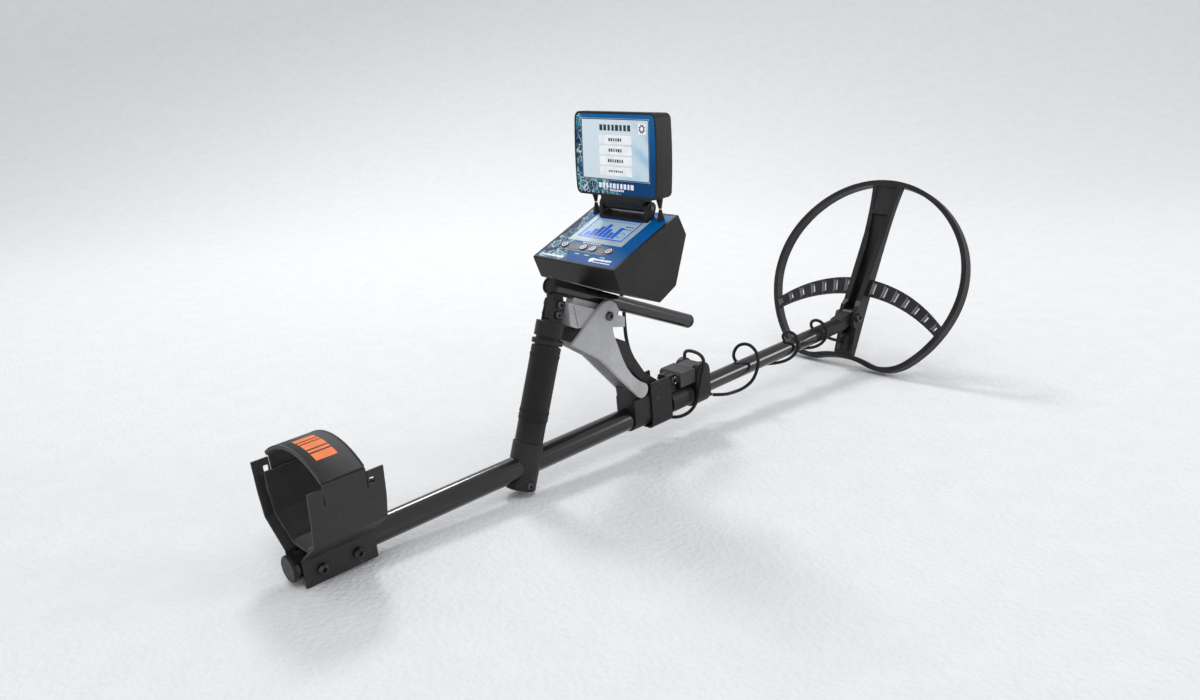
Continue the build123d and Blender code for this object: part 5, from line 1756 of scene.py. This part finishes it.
@dataclass
class Coil:
    """The search coil: a ring case with its cover, spine and slit webs.

    Args:
        top_arc: The webs' upper arc: its radius and its centre up the coil, in millimetres.
        low_arc: The webs' lower arc.
        slits: How many slits each web has.
        first: The first slit's angle from upright, in degrees.
        step: Degrees between slits.
        width: A slit's width.
        margin: Web left above and below a slit.
        lip: How far a slit's raised lip spreads.
        lip_height: How far the lip stands off the web.
    """

    top_arc: tuple[float, float] = (201.2, -146.4)
    low_arc: tuple[float, float] = (224.8, -192.7)
    slits: int = 7
    first: float = 6.3
    step: float = 5.45
    width: float = 4.5
    margin: float = 4.2
    lip: float = 1.1
    lip_height: float = 0.35

    def slit(self, angle: float) -> tuple[float, float]:
        """Where a slit starts and ends, from the upper arc's centre.

        Args:
            angle: Its angle from upright, in degrees.

        Returns:
            The two distances, in millimetres.
        """
        radius, centre = self.low_arc
        shift = self.top_arc[1] - centre
        along = shift * math.cos(math.radians(angle))
        near = -along + math.sqrt(along * along - shift * shift + radius * radius)
        return near + self.margin, self.top_arc[0] - self.margin

    def painted_slit_edge(self, shape: Shape, angle: float, high: float, low: float) -> None:
        """Adds the moulded lip, the wall down into the slit and the rib beside it, all light grey:
        painted highlight on the slit edges of a black coil.

        Args:
            shape: The mesh that it goes to.
            angle: The slit's angle from upright, in degrees, positive to the right.
            high: The web's near face off the coil's face, in millimetres.
            low: The web's far face.
        """
        near, far = self.slit(abs(angle))
        turn = math.radians(angle)
        across = COIL_FACE.right * math.cos(turn) - COIL_FACE.up * math.sin(turn)
        radial = COIL_FACE.right * math.sin(turn) + COIL_FACE.up * math.cos(turn)
        middle = (near + far) / 2
        rise = self.top_arc[1] + middle * math.cos(turn)
        face = Panel(COIL_FACE.at(middle * math.sin(turn), rise), across, radial)
        length = far - near
        base, crest = high - SUNK, high + self.lip_height
        wall, slack = -0.5, -0.04
        levels = (
            (self.lip, base),
            (self.lip, crest),
            (wall, crest),
            (wall, low),
            (slack, low),
            (slack, base),
        )
        rings = []
        for grow, lift in levels:
            corner = 0.5 + max(grow, -0.3) / 2
            flat = rounded(0, 0, self.width + grow, length + grow, corner)
            rings.append([face.at(u, v, lift) for u, v in flat])
        shape.rings(rings, Finishes.SLIT_HIGHLIGHT, smooth=False, loop=True)
        # Only one side of each slit gets this light rib: a painted highlight along that side.
        rib = rounded(-self.width / 2 - 1.2, 0, 0.9, length + 5.6, 0.3)
        shape.tile(face, rib, base, 0.5, Finishes.SLIT_HIGHLIGHT, 0.1)

    def build(self) -> None:
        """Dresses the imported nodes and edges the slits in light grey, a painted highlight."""
        dress(Finishes.COIL, "coil_ring", "coil_cover", "coil_spine")
        dress(Finishes.WEB, "coil_webs")
        dress(Finishes.COPPER, "coil_winding")
        dress(Finishes.BLACK, "shaft_tongue", "cable_gland")
        shape = Shape("slit_painted_highlights")
        high = lift_of("coil_webs", COIL_FACE)
        low = lift_of("coil_webs", COIL_FACE, lowest=True)
        for hand in (-1, 1):
            for index in range(self.slits):
                self.painted_slit_edge(shape, hand * (self.first + index * self.step), high, low)
        shape.piece(Body.COIL, "coil_case")


@dataclass(frozen=True)
class Run:
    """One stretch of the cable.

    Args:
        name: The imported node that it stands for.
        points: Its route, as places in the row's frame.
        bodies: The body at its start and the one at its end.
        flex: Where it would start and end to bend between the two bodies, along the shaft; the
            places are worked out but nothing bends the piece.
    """

    name: str
    points: tuple[Vector, ...]
    bodies: tuple[Body, Body]
    flex: tuple[float, float] = (0.0, 0.0)


def shaft_points(*places: Place) -> tuple[Vector, ...]:
    """Places of the shaft's frame as points."""
    return tuple(STANCE.at(*place) for place in places)


def wound(*turns: Place) -> tuple[Vector, ...]:
    """Places about the shaft, each given along it, round it and out from it."""
    return tuple(STANCE.round_shaft(*turn) for turn in turns)


def cable_runs() -> list[Run]:
    """The three stretches of the cable from the console to the coil.

    Returns:
        The stretches.
    """
    rear = shaft_points(
        (428.0, 13.0, 151.0), (428.0, 13.0, 136.0), (430.5, 13.4, 120.0),
        (430.0, 13.5, 104.0), (431.0, 14.4, 86.0), (436.0, 16.4, 69.0),
        (445.0, 19.2, 53.5), (453.0, 21.4, 38.0), (457.5, 22.0, 21.0),
        (461.5, 21.0, 4.0), (467.5, 17.0, -12.0), (476.5, 7.0, -22.5),
        (487.0, -5.0, -24.0), (496.5, -15.5, -16.5), (503.0, -20.5, -2.0),
        (508.5, -20.5, 19.0), (520.5, -20.5, 44.7), (525.0, 20.5, 44.7),
        (530.5, 20.5, 19.0), (535.0, 19.5, -1.0), (542.5, 13.5, -13.5),
        (551.5, 3.0, -18.5),
    )
    middle = shaft_points((552.0, 2.4, -18.7)) + wound(
        (563.0, 250, 21.5), (579.0, 258, 24.0), (595.0, 252, 24.5),
        (606.0, 228, 21.0), (611.5, 197, 17.5), (616.0, 160, 18.5),
        (617.5, 125, 24.0), (615.0, 97, 29.0), (609.5, 72, 28.0),
        (607.0, 42, 21.0), (611.0, 10, 16.0), (622.0, -18, 14.0),
        (637.0, -38, 13.7), (653.0, -58, 13.7), (668.0, -82, 14.4),
        (681.0, -108, 15.0), (691.0, -138, 14.2), (697.0, -172, 13.9),
        (699.5, 152, 15.5), (699.0, 118, 20.0), (697.0, 84, 21.0),
        (698.5, 50, 17.0), (704.0, 17, 14.2), (714.0, -15, 13.7),
    )
    front = wound(
        (714.6, -17, 13.7), (726.0, -50, 13.8), (738.0, -84, 14.8),
        (749.0, -118, 14.8), (756.0, -156, 14.0), (758.5, 168, 14.5),
        (757.5, 132, 18.5), (755.0, 97, 21.0), (756.0, 62, 18.5),
        (761.0, 28, 14.8), (769.5, -6, 13.9), (780.0, -42, 14.4),
        (790.0, -72, 17.0),
    ) + shaft_points(
        (798.93, 1.2, -20.92), (807.93, 0, -23.52),
    )
    return [
        Run("cable_rear", rear, (Body.FRAME, Body.FRAME)),
        Run("cable_middle", middle, (Body.FRAME, Body.LOWER), (556.0, 640.0)),
        Run("cable_front", front, (Body.LOWER, Body.COIL), (782.0, 806.0)),
    ]


@dataclass
class Cables:
    """The cable and the tape that holds it on the lower tube.

    Args:
        radius: The cable's radius, in millimetres.
        step: Distance between the rings of its mesh.
        taped: Where the tape starts and ends along the shaft.
        tube_radius: The lower tube's radius.
    """

    radius: float = 2.0
    step: float = 1.6
    taped: tuple[float, float] = (700.0, 708.0)
    tube_radius: float = 10.0

    def curve(self, run: Run) -> bpy.types.Object:
        """A curve object along a stretch.

        Args:
            run: The stretch.

        Returns:
            The curve, without a bevel.
        """
        data = bpy.data.curves.new(run.name + "_route", "CURVE")
        data.dimensions = "3D"
        spline = data.splines.new("NURBS")
        spline.points.add(len(run.points) - 1)
        for control, point in zip(spline.points, run.points):
            control.co = (*point, 1.0)
        spline.order_u = 3
        spline.use_endpoint_u = True
        spline.resolution_u = 14
        return placed(data.name, data)

    def path(self, route: bpy.types.Object) -> list[Vector]:
        """Evenly spaced points read from a route.

        Args:
            route: The curve.

        Returns:
            The points.
        """
        dense = [vertex.co.copy() for vertex in finished_mesh(route).vertices]
        lengths = [0.0]
        for low, high in zip(dense, dense[1:]):
            lengths.append(lengths[-1] + (high - low).length)
        count = max(8, round(lengths[-1] / (self.step * MM)))
        points, place = [], 0
        for index in range(count + 1):
            target = lengths[-1] * index / count
            while place < len(dense) - 2 and lengths[place + 1] < target:
                place += 1
            span = lengths[place + 1] - lengths[place]
            share = (target - lengths[place]) / span if span else 0.0
            points.append(dense[place].lerp(dense[place + 1], share))
        return points

    def build_run(self, run: Run) -> None:
        """Args:
            run: The stretch.
        """
        route = self.curve(run)
        path = self.path(route)
        bpy.data.objects.remove(route, do_unlink=True)
        length = sum((b - a).length for a, b in zip(path, path[1:]))
        shape = Shape(run.name.replace("cable", "flex"))
        shape.tube(path, lambda share: self.radius, Finishes.CABLE, 18)
        bends = run.bodies[0] != run.bodies[1]
        piece = shape.piece(None if bends else run.bodies[0], "boot_rubber", [run.name])
        if bends:
            start, end = (STANCE.at(x, 0, 0) for x in run.flex)
            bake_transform(piece)
        LOG.info("%s: %.0f mm", run.name, length / MM)

    def tape(self, shape: Shape, low: float, high: float, radius: float) -> None:
        """Adds a wrap of tape with lapped turns on the lower tube.

        Args:
            shape: The mesh that it goes to.
            low: Its start along the shaft, in millimetres.
            high: Its end.
            radius: Its inner radius.
        """
        sides, lap = 56, 3.1
        stations = [low + (high - low) * step / 24 for step in range(25)]
        profile = [(x, radius + 0.35 + 0.2 * ((x - low) / lap % 1.0)) for x in stations]
        profile += [(x, radius + 0.02) for x in reversed(stations)]
        rings = []
        for step in range(sides):
            sway = 0.2 * math.sin(step / 9.0)
            angle = 360 * step / sides
            rings.append([STANCE.round_shaft(x + sway, angle, reach) for x, reach in profile])
        shape.rings(rings, Finishes.CABLE, loop=True)

    def build(self) -> None:
        """Makes the cable and the tape."""
        for run in cable_runs():
            self.build_run(run)
        shape = Shape("cable_ties")
        self.tape(shape, *self.taped, self.tube_radius)
        shape.piece(Body.LOWER, "boot_rubber")


@dataclass
class Studio:
    """The pale floor with its backdrop, the lights and the camera.

    Args:
        lens: The camera's focal length, in millimetres.
        eye: The camera's place, in the shaft's frame.
        up: The camera's up, in the shaft's frame.
        back: The direction behind the camera.
        floor: How far the flat floor reaches in front of the object and behind it, in metres.
        bend: The radius of the backdrop's bend.
        height: The backdrop's height.
        half_width: Half the floor's width.
    """

    lens: float = 31.66
    eye: Place = (-315.71, -800.68, 446.06)
    up: Place = (0.27854, 0.17870, 0.94365)
    back: Place = (-0.62124, -0.71578, 0.31893)
    floor: tuple[float, float] = (4.0, 1.5)
    bend: float = 3.0
    height: float = 6.0
    half_width: float = 7.0

    def build_camera(self) -> None:
        """Makes the camera."""
        data = bpy.data.cameras.new("camera")
        data.sensor_width, data.lens = 36.0, self.lens
        data.dof.use_dof = False
        data.clip_start, data.clip_end = 0.01, 100.0
        camera = placed("camera", data)
        up, back = STANCE.way(*self.up), STANCE.way(*self.back)
        turn = Matrix((up.cross(back), up, back)).transposed().to_4x4()
        camera.matrix_world = Matrix.Translation(STANCE.at(*self.eye)) @ turn
        bpy.context.scene.camera = camera

    def build_floor(self) -> None:
        """Makes the floor and its curved backdrop as one sheet."""
        finish = Moulded(
            "studio_paper",
            (0.83, 0.835, 0.84),
            0.9,
            grain=170.0,
            depth=0.0009,
            dust=0.03,
            shine=0.1,
        )
        away = -STANCE.way(*self.back)
        away = Vector((away.x, away.y, 0.0)).normalized()
        side = Vector((away.y, -away.x, 0.0))
        front, behind = self.floor
        profile = [(-front, 0.0), (behind, 0.0)]
        for step in range(1, 25):
            turn = math.pi / 48 * step
            rise = self.bend * (1 - math.cos(turn))
            profile.append((behind + self.bend * math.sin(turn), rise))
        profile.append((behind + self.bend, self.height))
        mesh = bmesh.new()
        rows = []
        for reach, rise in profile:
            middle = away * reach + Vector((0, 0, rise - 0.0004))
            ends = (middle - side * self.half_width, middle + side * self.half_width)
            rows.append([mesh.verts.new(end) for end in ends])
        for low, high in zip(rows, rows[1:]):
            mesh.faces.new((low[0], low[1], high[1], high[0])).smooth = True
        bmesh.ops.recalc_face_normals(mesh, faces=mesh.faces)
        data = bpy.data.meshes.new("floor")
        mesh.to_mesh(data)
        mesh.free()
        coat(data, finish)
        floor = placed("floor", data)

    def light(self, name: str, place: Place, aim: Vector, size: float, power: float) -> None:
        """Adds one square soft light.

        Args:
            name: Its name.
            place: Where it stands, in metres.
            aim: The point it faces.
            size: Its width, in metres.
            power: Its power, in watts.
        """
        data = bpy.data.lights.new(name, "AREA")
        data.shape, data.size, data.energy = "SQUARE", size, power
        lamp = placed(name, data)
        lamp.location = place
        lamp.rotation_euler = (aim - Vector(place)).to_track_quat("-Z", "Y").to_euler()

    def build_lights(self) -> None:
        """Makes the sky and the soft lights."""
        world = bpy.data.worlds.new("studio")
        world.use_nodes = True
        background = world.node_tree.nodes["Background"]
        background.inputs["Color"].default_value = (0.97, 0.98, 1.0, 1)
        background.inputs["Strength"].default_value = 0.7
        bpy.context.scene.world = world
        aim = Vector((0.0, 0.0, 0.12))
        self.light("top", (0.75, 1.6, 2.1), aim, 0.55, 24.0)
        self.light("key", (-1.3, -1.5, 2.9), aim, 1.2, 16.0)
        self.light("side", (2.3, -2.1, 0.95), Vector((0.35, 0.0, 0.15)), 0.9, 20.0)
        bpy.context.scene.view_settings.view_transform = "Standard"
        bpy.context.scene.view_settings.look = "None"

    def build(self) -> None:
        """Makes the camera, the floor and the lights."""
        self.build_camera()
        self.build_floor()
        self.build_lights()


@dataclass
class Detector:
    """The whole detector, from its sub-assemblies.

    Args:
        cuff: The arm cuff.
        handle: The grip, the bar and the braces.
        head: The console and the monitor.
        coil: The search coil.
        cables: The cable.
        studio: The stage.
    """

    cuff: Cuff = field(default_factory=Cuff)
    handle: Handle = field(default_factory=Handle)
    head: Head = field(default_factory=Head)
    coil: Coil = field(default_factory=Coil)
    cables: Cables = field(default_factory=Cables)
    studio: Studio = field(default_factory=Studio)

    def build(self) -> None:
        """Builds every sub-assembly."""
        row, ring = Repeater(False), Repeater(True)
        self.cuff.build()
        self.handle.build(ring)
        self.head.build(row, ring)
        self.coil.build()
        self.cables.build()
        self.studio.build()
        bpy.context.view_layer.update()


def main() -> None:
    """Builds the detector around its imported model."""
    logging.basicConfig(level=logging.INFO, format="%(message)s")
    Detector().build()


if __name__ == "__main__":
    main()
